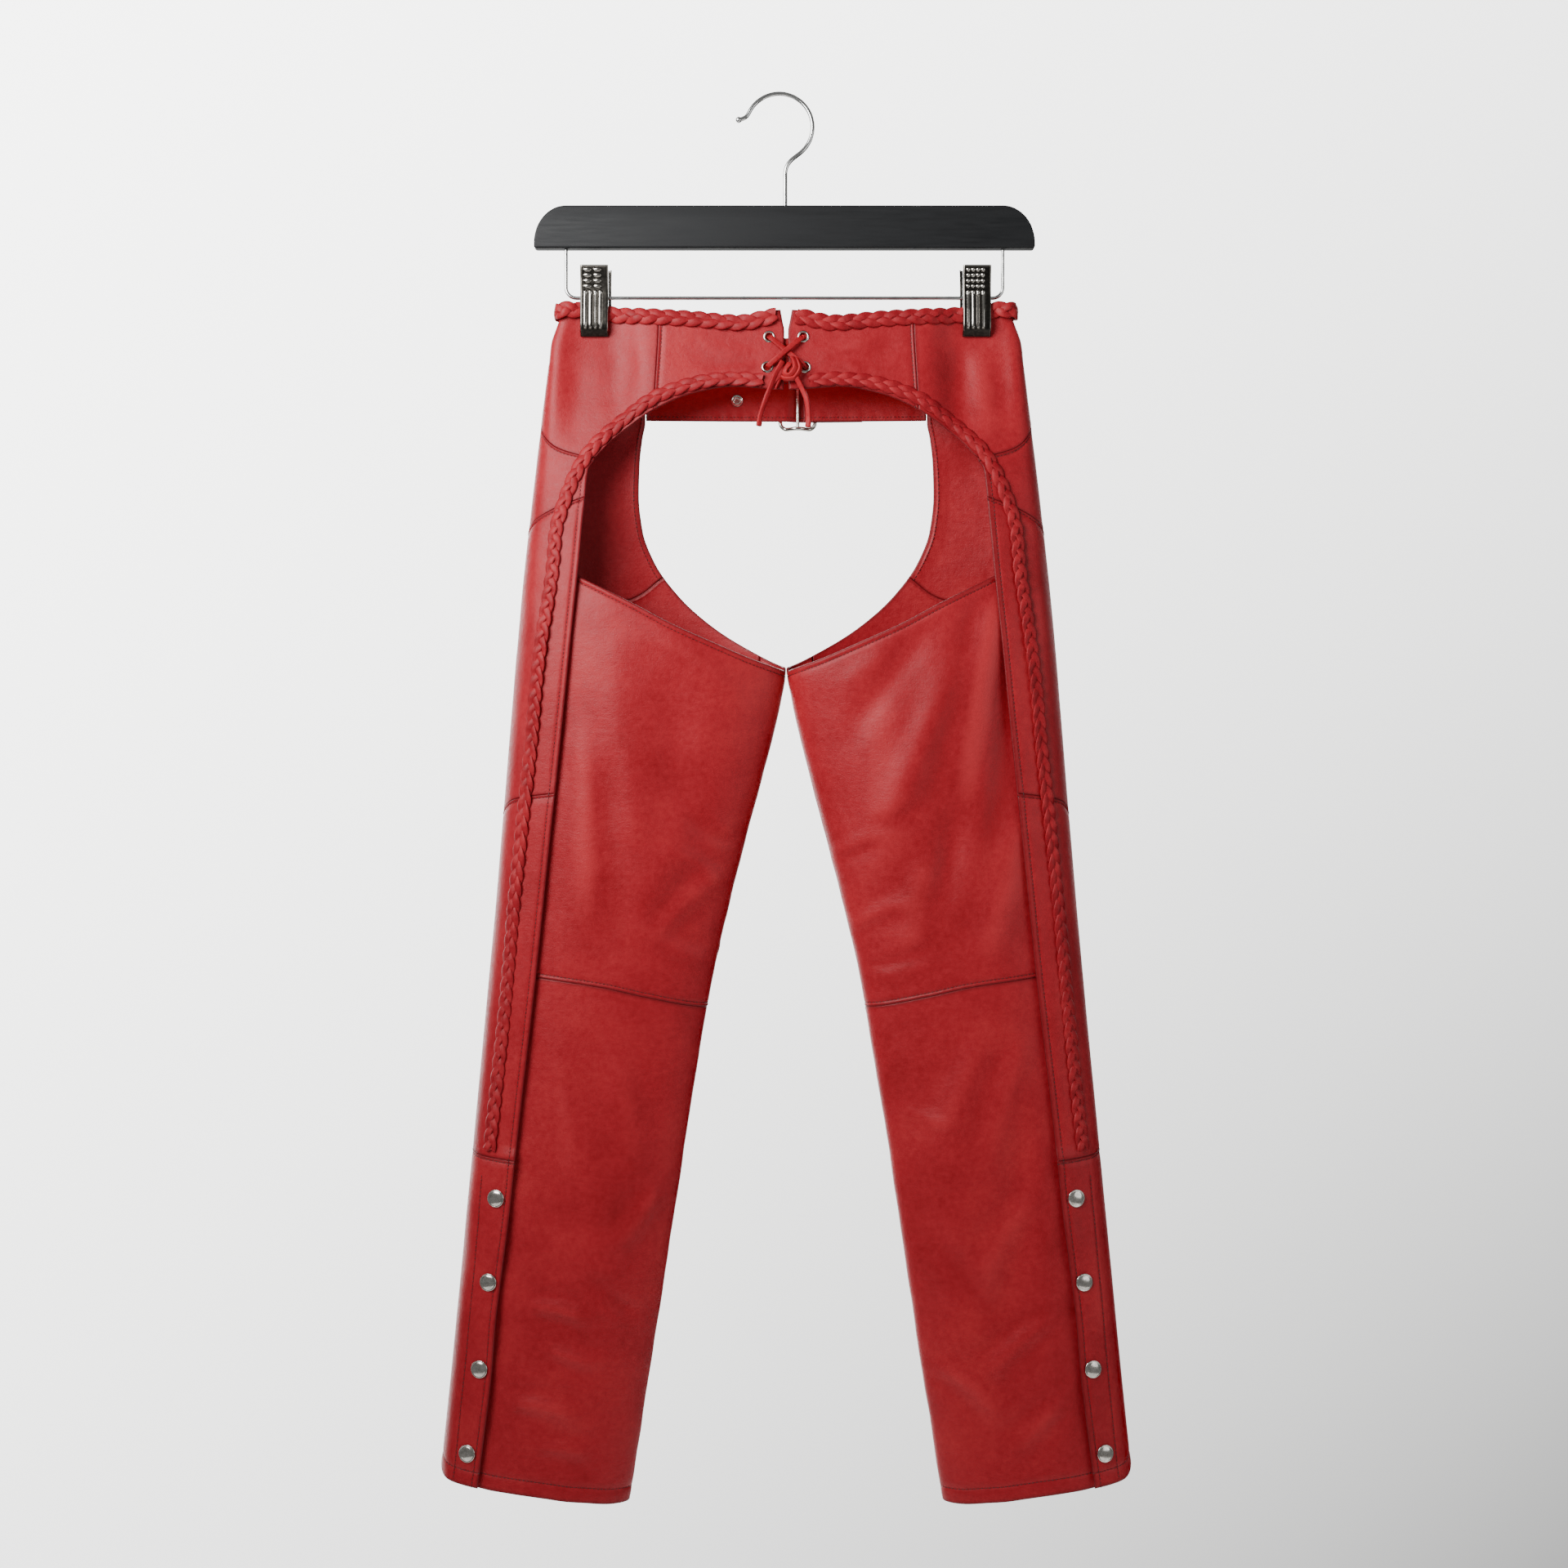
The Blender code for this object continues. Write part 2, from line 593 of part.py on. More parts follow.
def add_snap(side, name, x, z, tree):
    turn = round_at(x, z)
    normal = outward(side, turn, z, True)
    middle = cloth(side, turn, z, True)
    across = normal.cross(Vector((0, 0, 1))).normalized()
    up = across.cross(normal)
    heights = []
    for i in range(12):
        angle = math.tau * i / 12
        spot = middle + (across * math.cos(angle) + up * math.sin(angle)) * SNAP_RADIUS * 0.98
        heights.append((laid(tree, spot, normal) - middle).dot(normal))
    heights.append((laid(tree, middle, normal) - middle).dot(normal))
    at = middle + normal * (max(heights) + CLEAR - 0.1)
    mesh = bpy.data.meshes.new(name)
    dome = bmesh.new()
    bmesh.ops.create_uvsphere(dome, u_segments=10, v_segments=8, radius=1)
    lower = [v for v in dome.verts if v.co.z < 0.36]
    bmesh.ops.delete(dome, geom=lower, context="VERTS")
    edges = [e for e in dome.edges if e.is_boundary]
    foot = bmesh.ops.extrude_edge_only(dome, edges=edges)["geom"]
    for v in [g for g in foot if isinstance(g, bmesh.types.BMVert)]:
        v.co.z = 0
    bmesh.ops.contextual_create(dome, geom=[e for e in dome.edges if e.is_boundary])
    wide = max(v.co.xy.length for v in dome.verts)
    for v in dome.verts:
        v.co.x *= SNAP_RADIUS / wide * MM
        v.co.y *= SNAP_RADIUS / wide * MM
        v.co.z *= SNAP_HEIGHT * MM
    bmesh.ops.recalc_face_normals(dome, faces=dome.faces)
    dome.to_mesh(mesh)
    dome.free()
    piece = keep(name, mesh, STEEL, 1.0, 0.28)
    piece.location = at * MM
    piece.rotation_mode = "QUATERNION"
    piece.rotation_quaternion = Vector((0, 0, 1)).rotation_difference(normal)
    return piece


def cut_hole(piece, at, axis, radius):
    """Cut a round hole through a leather piece."""
    mesh = bpy.data.meshes.new(f"{piece.name}_hole")
    drill = bmesh.new()
    bmesh.ops.create_cone(drill, cap_ends=True, segments=12, radius1=radius * MM,
                          radius2=radius * MM, depth=9 * MM)
    drill.to_mesh(mesh)
    drill.free()
    cutter = bpy.data.objects.new(mesh.name, mesh)
    cutters.objects.link(cutter)
    cutter.location = at * MM
    cutter.rotation_mode = "QUATERNION"
    cutter.rotation_quaternion = Vector((0, 0, 1)).rotation_difference(axis)
    cutter.hide_render = True
    cutter.display_type = "WIRE"
    hole = piece.modifiers.new("hole", "BOOLEAN")
    hole.object = cutter
    hole.solver = "EXACT"


def add_eyelet(name, piece, middle, normal):
    """A flanged ring whose barrel passes through its leather."""
    cut_hole(piece, middle, normal, EYELET_BORE + EYELET_WALL + 0.45)
    skin = LEATHER / 2
    profile = ((EYELET_BORE, -skin - 0.2), (EYELET_BORE, skin + 0.9), (EYELET_BORE + 1.2, skin + 1.3),
               (EYELET_RADIUS, skin + 0.5), (EYELET_BORE + EYELET_WALL, skin + 0.35),
               (EYELET_BORE + EYELET_WALL, -skin - 0.2))
    return turned(name, profile, middle, normal, 10, STEEL)


def ribbon(name, points, normals, width, thickness, colour):
    """A flat thong along points, each with the way its face looks."""
    mesh = bpy.data.meshes.new(name)
    corners, faces = [], []
    for i, (point, normal) in enumerate(zip(points, normals)):
        way = (points[min(i + 1, len(points) - 1)] - points[max(i - 1, 0)]).normalized()
        beside = way.cross(normal).normalized() * (width / 2)
        face = beside.cross(way).normalized() * (thickness / 2)
        corners += [point - beside - face, point + beside - face, point + beside + face,
                    point - beside + face]
    for i in range(len(points) - 1):
        for k in range(4):
            n = (k + 1) % 4
            faces.append((4 * i + k, 4 * i + n, 4 * i + 4 + n, 4 * i + 4 + k))
    end = 4 * (len(points) - 1)
    faces += [(3, 2, 1, 0), (end, end + 1, end + 2, end + 3)]
    mesh.from_pydata([corner * MM for corner in corners], [], faces)
    bm = bmesh.new()
    bm.from_mesh(mesh)
    bmesh.ops.recalc_face_normals(bm, faces=bm.faces)
    bm.to_mesh(mesh)
    bm.free()
    return keep(name, mesh, colour)


def near_y(side, x, z):
    return cloth(side, round_at(x, z), z, True).y


def add_lacing():
    """The lace's crossing, its knot and its free ends, over the placket of the back yoke."""
    facing = Vector((0, -1, 0))
    (upper_x, upper_z), (lower_x, lower_z) = EYELETS
    for name, start, end, proud in (
        ("lace_under", (-upper_x, upper_z), (lower_x, lower_z), 3.8),
        ("lace_over", (-lower_x, lower_z), (upper_x, upper_z), 5.8),
    ):
        length = math.hypot(end[0] - start[0], end[1] - start[1])
        points = []
        for from_end in (0, 1.0, 2.8, 8, length / 2 - 4, length / 2 + 4, length - 8,
                         length - 2.8, length - 1.0, length):
            t = from_end / length
            x = start[0] + (end[0] - start[0]) * t
            z = start[1] + (end[1] - start[1]) * t
            inside = min(from_end, length - from_end)
            stand = along(((0, 0.8), (1.0, 2.5), (2.8, 3.8), (length / 2 - 4, proud)), inside)
            points.append(Vector((MIDDLE_X + x, near_y(1, abs(x), z) - stand, z)))
        ribbon(name, points, [facing] * len(points), LACE_WIDTH * 0.85, LACE_THICKNESS, LEATHER_RED)
    mesh = bpy.data.meshes.new("lace_knot")
    lump = bmesh.new()
    bmesh.ops.create_uvsphere(lump, u_segments=12, v_segments=8, radius=0.5)
    wide, deep, tall = KNOT_SIZE
    for v in lump.verts:
        v.co = Vector((v.co.x * wide, v.co.y * deep, v.co.z * tall)) * MM
    lump.to_mesh(mesh)
    lump.free()
    knot = keep("lace_knot", mesh, LEATHER_RED)
    knot_x, knot_z = KNOT_AT
    knot_y = near_y(1, abs(knot_x), knot_z) - LEATHER / 2 - CLEAR - deep / 2
    knot.location = Vector((knot_x, knot_y, knot_z)) * MM
    base = near_y(1, 15, -250) - LEATHER / 2
    for name, angle in LACE_ENDS.items():
        angle = math.radians(angle)
        start_x = knot_x + (wide / 2 + KNOT_CLEAR) * math.cos(angle)
        start_z = knot_z + (tall / 2 + KNOT_CLEAR) * math.sin(angle)
        rows = ((start_x, start_z, base - knot_y), *LACE_END_PLACES[name])
        points = [Vector((x, base - proud, z)) for x, z, proud in chain(rows, 3.2)]
        tube(name, points, LACE_THICKNESS, LEATHER_RED, 2)


def tube(name, points, radius, colour, fineness=3, closed=False, metallic=0.0, roughness=0.5):
    """A round wire or thong along points."""
    curve = bpy.data.curves.new(name, "CURVE")
    curve.dimensions = "3D"
    curve.bevel_depth = radius * MM
    curve.bevel_resolution = fineness
    curve.use_fill_caps = True
    line = curve.splines.new("POLY")
    line.points.add(len(points) - 1)
    for spot, point in zip(line.points, points):
        spot.co = (*(point * MM), 1)
    line.use_cyclic_u = closed
    curve.materials.append(material(f"{name}_finish", colour, metallic, roughness))
    piece = bpy.data.objects.new(name, curve)
    parts.objects.link(piece)
    return piece


def arc(centre, radius, start, end, count, plane="xz"):
    points = []
    for angle in steps(math.radians(start), math.radians(end), count):
        a, b = radius * math.cos(angle), radius * math.sin(angle)
        points.append(centre + (Vector((a, 0, b)) if plane == "xz" else Vector((0, a, b))))
    return points


def far_y(x, z):
    return cloth(1, -round_at(abs(x), z), z, True).y


def add_strap(name, places):
    """A stretch of belt strap over places, each a signed x and how far it stands out."""
    rows = []
    for z in steps(STRAP_TOP, STRAP_FOOT, 2):
        rows.append([Vector((MIDDLE_X + x, far_y(x, BUCKLE_MID_Z) + out, z))
                     for x, out in places])
    piece = keep(name, grid_mesh(name, [row[::-1] for row in rows]), LEATHER_RED)
    wall = piece.modifiers.new("wall", "SOLIDIFY")
    wall.thickness = LEATHER * MM
    wall.offset = 0
    return piece


def mesh_of(piece):
    """A curve piece as a mesh piece with its caps welded on."""
    seen = piece.evaluated_get(bpy.context.evaluated_depsgraph_get())
    mesh = bpy.data.meshes.new_from_object(seen)
    welded = bmesh.new()
    welded.from_mesh(mesh)
    bmesh.ops.remove_doubles(welded, verts=welded.verts, dist=0.000001)
    bmesh.ops.recalc_face_normals(welded, faces=welded.faces)
    welded.to_mesh(mesh)
    welded.free()
    name = piece.name
    bpy.data.objects.remove(piece)
    return bpy.data.objects.new(name, mesh)


def add_buckle():
    """A centre-bar frame whose ends bow out past the strap, and its prong."""
    wide, tall = BUCKLE_SIZE
    middle_x = MIDDLE_X + BUCKLE_X - 1.5
    y_bar = far_y(BUCKLE_X, BUCKLE_MID_Z) + 1.0
    corner = 6.0
    loop = []
    for turn, sx, sz in ((0, 1, 1), (90, -1, 1), (180, -1, -1), (270, 1, -1)):
        centre = Vector((sx * (wide / 2 - corner), 0, sz * (tall / 2 - corner)))
        loop += arc(centre, corner, turn, turn + 90, 4)
        if turn in (0, 180):
            loop.append(Vector((0, 0, sz * tall / 2)))
    points = []
    for spot in loop:
        bow = 6.2 * smooth_step(1, wide / 2 - 3, abs(spot.x))
        points.append(spot + Vector((middle_x, y_bar + bow, BUCKLE_MID_Z)))
    frame = mesh_of(tube("buckle_frame", points, BUCKLE_WIRE, STEEL, 1, True))
    bar_points = [Vector((middle_x, y_bar, BUCKLE_MID_Z + z)) for z in (-tall / 2, tall / 2)]
    bar = mesh_of(tube("buckle_bar_cutter", bar_points, BUCKLE_WIRE * 0.8, STEEL, 1))
    parts.objects.link(frame)
    cutters.objects.link(bar)
    bar.hide_render = True
    bar.display_type = "WIRE"
    join = frame.modifiers.new("bar", "BOOLEAN")
    join.operation = "UNION"
    join.object = bar
    reach = y_bar + 6.2 + BUCKLE_WIRE + 1.6
    prong = [Vector((middle_x - 0.5, y_bar + 6.2, BUCKLE_MID_Z)),
             Vector((middle_x - 4, reach - 0.8, BUCKLE_MID_Z)),
             Vector((middle_x - wide / 2 - 1, reach, BUCKLE_MID_Z)),
             Vector((middle_x - wide / 2 - 3.5, reach - 0.6, BUCKLE_MID_Z))]
    tube("buckle_prong", prong, 1.3, STEEL, 1, metallic=1.0)


def add_bar():
    """The wooden bar: a flat length whose ends are rounded up like shoulders."""
    across, rise = BAR_SHOULDER
    half, foot, top = BAR_LENGTH / 2, BAR_FOOT, BAR_TOP
    toe = 1.5
    outline = []
    for side in (1, -1):
        corner = []
        for angle in steps(0, 90, 7):
            x = half - across + across * math.cos(math.radians(angle))
            z = top - rise + rise * math.sin(math.radians(angle))
            corner.append((side * x, z))
        corner.insert(0, (side * half, foot + toe))
        corner.insert(0, (side * (half - toe), foot))
        outline += corner if side > 0 else corner[::-1]
    curve = bpy.data.curves.new("hanger_bar", "CURVE")
    curve.dimensions = "2D"
    curve.fill_mode = "BOTH"
    curve.extrude = (BAR_DEPTH / 2 - BAR_ROUNDING) * MM
    curve.bevel_depth = BAR_ROUNDING * MM
    curve.offset = -BAR_ROUNDING * MM
    curve.bevel_resolution = 1
    line = curve.splines.new("POLY")
    line.points.add(len(outline) - 1)
    for spot, (x, z) in zip(line.points, outline):
        spot.co = (x * MM, z * MM, 0, 1)
    line.use_cyclic_u = True
    curve.materials.append(material("hanger_bar_finish", BAR_BLACK, 0.0, 0.4))
    piece = bpy.data.objects.new("hanger_bar", curve)
    parts.objects.link(piece)
    piece.rotation_euler = (math.pi / 2, 0, 0)
    return piece


def add_hook():
    """The hook's wire: a flared tip, an open loop, then straight down to the bar."""
    inner = HOOK_RADIUS - HOOK_WIRE
    centre_z = -math.sqrt(inner**2 - HOOK_CENTRE_X**2)
    centre = Vector((HOOK_CENTRE_X, 0, centre_z))
    points = [Vector((x, 0, z)) for x, z in HOOK_TIP]
    points += arc(centre, HOOK_RADIUS, 155, -50, 22)
    points += [Vector((x, 0, z)) for x, z in HOOK_STEM]
    tube("hanger_hook", points, HOOK_WIRE, STEEL, 2, metallic=1.0, roughness=0.3)


def add_rail():
    """The clip rail: one wire down from the bar, across and up again."""
    points = [Vector((-RAIL_X, 0, BAR_FOOT - 0.3))]
    points += arc(Vector((-RAIL_X + RAIL_BEND, 0, RAIL_Z + RAIL_BEND)), RAIL_BEND, 180, 270, 5)
    points += arc(Vector((RAIL_X - RAIL_BEND, 0, RAIL_Z + RAIL_BEND)), RAIL_BEND, 270, 360, 5)
    points.append(Vector((RAIL_X, 0, BAR_FOOT - 0.3)))
    tube("clip_rail", points, RAIL_WIRE, STEEL, 2, metallic=1.0, roughness=0.3)


JAW_COLUMNS = ("z", "y")
JAW_LINE = (
    (CLIP_TOP, 11.8), (CLIP_TOP - 3, 11.2), (-158, 7.4), (-166, 4.7), (-170.4, 4.25),
    (-175.4, 4.25), (-180, 9.8), (-184, 10.6), (-197, 10.6), (-201, 9.2), (-204.2, 5.6),
    (CLIP_FOOT, 4.0),
)


def add_clip(side, letter):
    """Two bent jaws on a barrel round the rail, which pinch the waist between them."""
    middle = side * CLIP_X + (MIDDLE_X if side > 0 else 0.6)
    for name, facing, shift in (("clip_front", -1, 0.0), ("clip_back", 1, -side * 1.6)):
        columns = []
        for x in (-CLIP_WIDTH / 2, CLIP_WIDTH / 2):
            columns.append([Vector((middle + shift + x, facing * y, z)) for z, y in JAW_LINE])
        rows = list(zip(*columns))
        if facing < 0:
            rows = [row[::-1] for row in rows]
        piece = keep(f"{name}_{letter}", grid_mesh(name, rows), CLIP_STEEL, 1.0, 0.35)
        wall = piece.modifiers.new("plate", "SOLIDIFY")
        wall.thickness = JAW * MM
        wall.offset = 0
        wall.use_even_offset = True
    bore, outer = BARREL
    half = CLIP_WIDTH / 2 - 2.5
    profile = ((bore, -half), (bore, half), (outer, half), (outer, -half))
    turned(f"clip_barrel_{letter}", profile, Vector((middle, 0, RAIL_Z)), Vector((1, 0, 0)), 12,
           CLIP_STEEL)


for existing in list(bpy.data.objects):
    bpy.data.objects.remove(existing)
parts = bpy.data.collections.new("leather_chaps")
cutters = bpy.data.collections.new("cutters")
for collection in (parts, cutters):
    bpy.context.scene.collection.children.link(collection)

for side, letter in ((-1, "left"), (1, "right")):
    panels = {name: add_panel(side, name, letter) for name in PANELS}
    skins = [panels[name] for name in PANELS if not name.startswith("back_thigh")
             and not name.startswith("back_calf")]
    skin = solid_tree(skins)
    add_braid(side, f"waist_braid_{letter}", waist_braid_places(), WAIST_BRAID_WIDTH, skin)
    add_braid(side, f"side_braid_{letter}", side_braid_places(), SIDE_BRAID_WIDTH, skin)
    for number, (x, z) in enumerate(SNAPS, 1):
        add_snap(side, f"snap_{letter}_{number}", x, z, skin)
    for place, (x, z) in zip(("upper", "lower"), EYELETS):
        turn = round_at(x, z)
        add_eyelet(f"eyelet_{letter}_{place}", panels["back_yoke"],
                   cloth(side, turn, z, True), outward(side, turn, z, True))
    add_clip(side, letter)
add_lacing()
left_places = [(x, 0.0) for x in steps(-STRAP_END, 0, 5)]
left_places += [(5, 2.0), (9.5, 4.3), (STRAP_TIP / 2, 4.4), (STRAP_TIP, 3.4)]
left_strap = add_strap("strap_left", left_places)
add_strap("strap_right", [(x, 0.0) for x in steps(BUCKLE_X + 3.2, STRAP_END, 5)])
eyelet_x, eyelet_z = STRAP_EYELET
eyelet_at = Vector((MIDDLE_X + eyelet_x, far_y(abs(eyelet_x), eyelet_z), eyelet_z))
add_eyelet("strap_eyelet", left_strap, eyelet_at, Vector((0, 1, 0)))
add_buckle()
add_bar()
add_hook()
add_rail()
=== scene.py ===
import json
import math

import bmesh
import bpy
import numpy as np
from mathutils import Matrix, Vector, noise
from mathutils.bvhtree import BVHTree

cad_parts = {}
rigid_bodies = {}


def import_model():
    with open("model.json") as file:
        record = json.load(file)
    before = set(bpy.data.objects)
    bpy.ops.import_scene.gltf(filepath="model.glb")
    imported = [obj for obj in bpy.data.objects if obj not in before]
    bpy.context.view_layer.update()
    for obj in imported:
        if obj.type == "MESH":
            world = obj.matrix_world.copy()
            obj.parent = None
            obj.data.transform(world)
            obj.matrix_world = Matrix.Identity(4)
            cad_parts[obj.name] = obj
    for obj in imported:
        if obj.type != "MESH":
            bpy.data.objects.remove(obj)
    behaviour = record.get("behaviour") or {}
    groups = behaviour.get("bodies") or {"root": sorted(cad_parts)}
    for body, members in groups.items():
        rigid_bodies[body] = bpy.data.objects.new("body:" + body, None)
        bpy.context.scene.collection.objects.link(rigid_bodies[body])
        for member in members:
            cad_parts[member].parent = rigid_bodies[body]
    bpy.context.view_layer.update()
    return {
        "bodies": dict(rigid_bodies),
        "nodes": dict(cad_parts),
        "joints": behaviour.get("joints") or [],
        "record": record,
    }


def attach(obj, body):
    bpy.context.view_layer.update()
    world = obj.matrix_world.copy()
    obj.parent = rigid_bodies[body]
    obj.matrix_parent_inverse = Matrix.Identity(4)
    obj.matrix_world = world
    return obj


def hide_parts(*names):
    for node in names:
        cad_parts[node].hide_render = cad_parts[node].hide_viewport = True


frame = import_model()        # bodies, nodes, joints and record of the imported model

mm = 0.001

# Red leather chaps on a clip hanger. Tables are in millimetres, x as the distance from the
# middle line, because each leg is the mirror of the other.
garment = {
    "middleX": 1.5,
    "wall": 1.5,
    "flapLift": 4.0,          # how far the side flap stands over the back panel
    "underFlap": 18.0,        # how far the back panel runs on under the flap
    "flapTuck": 1.5,
    "inseam": 0.80,           # how far round the far side the inside seam lies
    "inseamExtra": 0.004,
    "openAbove": (-488, -275),
    # height, outer edge, inner edge, depth of the near wall, depth of the far wall
    "levels": (
        (-178, 192.5, 1.3, 9, 12), (-189, 193.2, 1.3, 9.5, 12.5), (-197, 195.8, 1.3, 10, 13),
        (-212, 200.8, 1.3, 11, 15), (-232, 203.0, 1.3, 14, 18), (-288, 210.0, 1.3, 22, 24), (-372, 219.8, 1.3, 30, 32),
        (-456, 228.5, 1.3, 34, 35), (-493, 231.8, 1.3, 35, 36), (-520, 234.0, 5.8, 35, 36),
        (-603, 240.5, 26.2, 34, 36), (-687, 247.8, 48.3, 32, 35), (-743, 253.0, 61.2, 30, 34),
        (-827, 260.8, 76.7, 28, 32), (-897, 267.4, 87.5, 27, 31), (-1037, 281.0, 108.9, 26, 29),
        (-1107, 287.8, 119.7, 26, 29), (-1200, 297.6, 134.6, 28, 30),
    ),
    # height and x of the flap's free edge
    "rim": (
        (-178, 162.5), (-313, 162.5), (-322, 167.5), (-349, 170.5), (-412, 176),
        (-476, 182.5), (-545, 189.3), (-660, 201.5), (-763, 212.3), (-883, 226.3),
        (-955, 234), (-1037, 244.5), (-1095, 249.5), (-1146, 255.8), (-1192, 262),
    ),
    # x and height of edges that run across
    "waist": ((0, -185.5), (9, -186), (39, -191.5), (80, -188), (129, -184.6), (152, -181.9),
              (180, -178.3), (200, -178.2)),
    "arch": ((0, -255), (17, -254), (46, -252), (80, -258), (108, -269.5), (128, -282),
             (148, -297.5), (157, -307), (162.5, -313)),
    "thighTop": ((0, -493), (30, -483), (61, -470), (97, -454), (128, -437.5),
                 (173.5, -414.5), (196, -403)),
    "knee": ((60, -779.5), (68.7, -779), (120, -769), (155, -761), (206, -753.5), (226, -751)),
    "backHem": ((130, -1201.5), (150, -1200.4), (170, -1197.5), (186, -1195.6), (203, -1192.6),
                (233, -1188.4), (260, -1185), (282, -1178)),
    "frontTop": ((121, -238.6), (135, -221), (150, -201), (163, -187), (176, -183)),
    # height and x of edges that run down
    "placket": ((-256, 2.7), (-230, 2.0), (-204, 1.8), (-196, 3.2), (-184, 5.4)),
    "yokeSeam": ((-270, 112), (-256, 111.5), (-202, 108.8), (-184, 108.4)),
    "sideSeam": ((-183, 172.5), (-400, 193), (-700, 219), (-1200, 268)),
    "frontEdge": ((-489, 1.3), (-483, 14), (-454, 62), (-426, 93.5), (-397, 114.5),
                  (-369, 125), (-340, 128), (-312, 127), (-290, 124.4), (-277, 121.9),
                  (-238, 121.6)),
    # seams of the side strip: how far across the strip, and the height there
    "seams": {
        "hip": ((0, -313), (0.25, -303), (0.56, -282), (1, -266)),
        "seat": ((0, -346), (0.3, -361), (0.56, -374.5), (1, -395), (1.5, -430), (2, -409)),
        "thigh": ((0, -597), (0.3, -602), (0.56, -614), (1, -628), (1.5, -641), (2, -646)),
        "shin": ((0, -907.5), (0.3, -904), (0.56, -900), (1, -900), (1.5, -908), (2, -914)),
        "hem": ((0, -1184), (0.3, -1179), (0.56, -1172), (1, -1177), (1.5, -1190),
                (2, -1198.5)),
    },
    # large folds: side, from x and height, to x and height, width, lift
    "folds": (
        (1, 152, -470, 78, -640, 17, 5.5), (1, 176, -500, 128, -690, 15, -4.5),
        (1, 120, -455, 45, -560, 14, -3.5), (1, 150, -850, 120, -1040, 22, 3.5),
        (1, 205, -860, 182, -1080, 20, -3.0), (-1, 150, -480, 120, -670, 20, 3.5),
        (-1, 100, -500, 78, -640, 18, -3.0), (-1, 120, -700, 78, -600, 16, 3.0),
        (-1, 165, -860, 150, -1060, 22, 3.0), (-1, 205, -900, 190, -1100, 20, -2.5),
    ),
    "clipX": 162.8,
    "pinchY": 2.2,
    "pinchHalf": 32.0,
    "pinchZ": (-330, -215),
    "snaps": ((245, -939.5), (251.5, -1010.5), (259, -1084), (269.5, -1155.5)),
    "gape": 2.2,              # how far the flap stands off between its snaps
}


def smoothStep(low, high, value):
    part = np.clip((value - low) / (high - low), 0, 1)
    return part * part * (3 - 2 * part)


def along(rows, key, column=1):
    # a smooth curve through a table's rows, with no overshoot between them
    table = np.array(sorted(rows), dtype=float)
    keys, values = table[:, 0], table[:, column]
    slopes = np.diff(values) / np.diff(keys)
    both = slopes[:-1] * slopes[1:]
    total = np.where(both > 0, slopes[:-1] + slopes[1:], 1)
    ends = np.concatenate([slopes[:1], np.where(both > 0, 2 * both / total, 0), slopes[-1:]])
    key = np.clip(key, keys[0], keys[-1])
    i = np.clip(np.searchsorted(keys, key, side="right") - 1, 0, len(keys) - 2)
    wide = keys[i + 1] - keys[i]
    t = (key - keys[i]) / wide
    start = values[i] * (1 + 2 * t) * (1 - t) ** 2 + ends[i] * wide * t * (1 - t) ** 2
    return start + values[i + 1] * t * t * (3 - 2 * t) + ends[i + 1] * wide * t * t * (t - 1)


def xAcross(turn, z):
    outer, inner = along(garment["levels"], z, 1), along(garment["levels"], z, 2)
    return outer + (inner - outer) * (1 - np.cos(np.pi * turn)) / 2


def roundAt(x, z):
    # how far round the leg a distance from the middle lies: 0 at the side, 1 inside
    outer, inner = along(garment["levels"], z, 1), along(garment["levels"], z, 2)
    return np.arccos(1 - 2 * np.clip((outer - x) / (outer - inner), 0, 1)) / np.pi


def foldLift(side, x, z):
    lift = 0.0
    for foldSide, x0, z0, x1, z1, width, height in garment["folds"]:
        if foldSide == side:
            run, rise = x1 - x0, z1 - z0
            length = math.hypot(run, rise)
            t = ((x - x0) * run + (z - z0) * rise) / length**2
            away = ((x - x0) * rise - (z - z0) * run) / length
            ends = smoothStep(-0.15, 0.3, t) * smoothStep(-0.15, 0.3, 1 - t)
            lift = lift + height * ends * np.exp(-((away / width) ** 2))
    return lift


def gapeAt(z):
    heights = [row[1] for row in garment["snaps"]]
    span = (heights[0] - heights[-1]) / (len(heights) - 1)
    lift = garment["gape"] * np.sin(np.pi * (z - heights[0]) / span) ** 2
    return np.where((z > heights[-1]) & (z < heights[0] + 40), lift, 0)


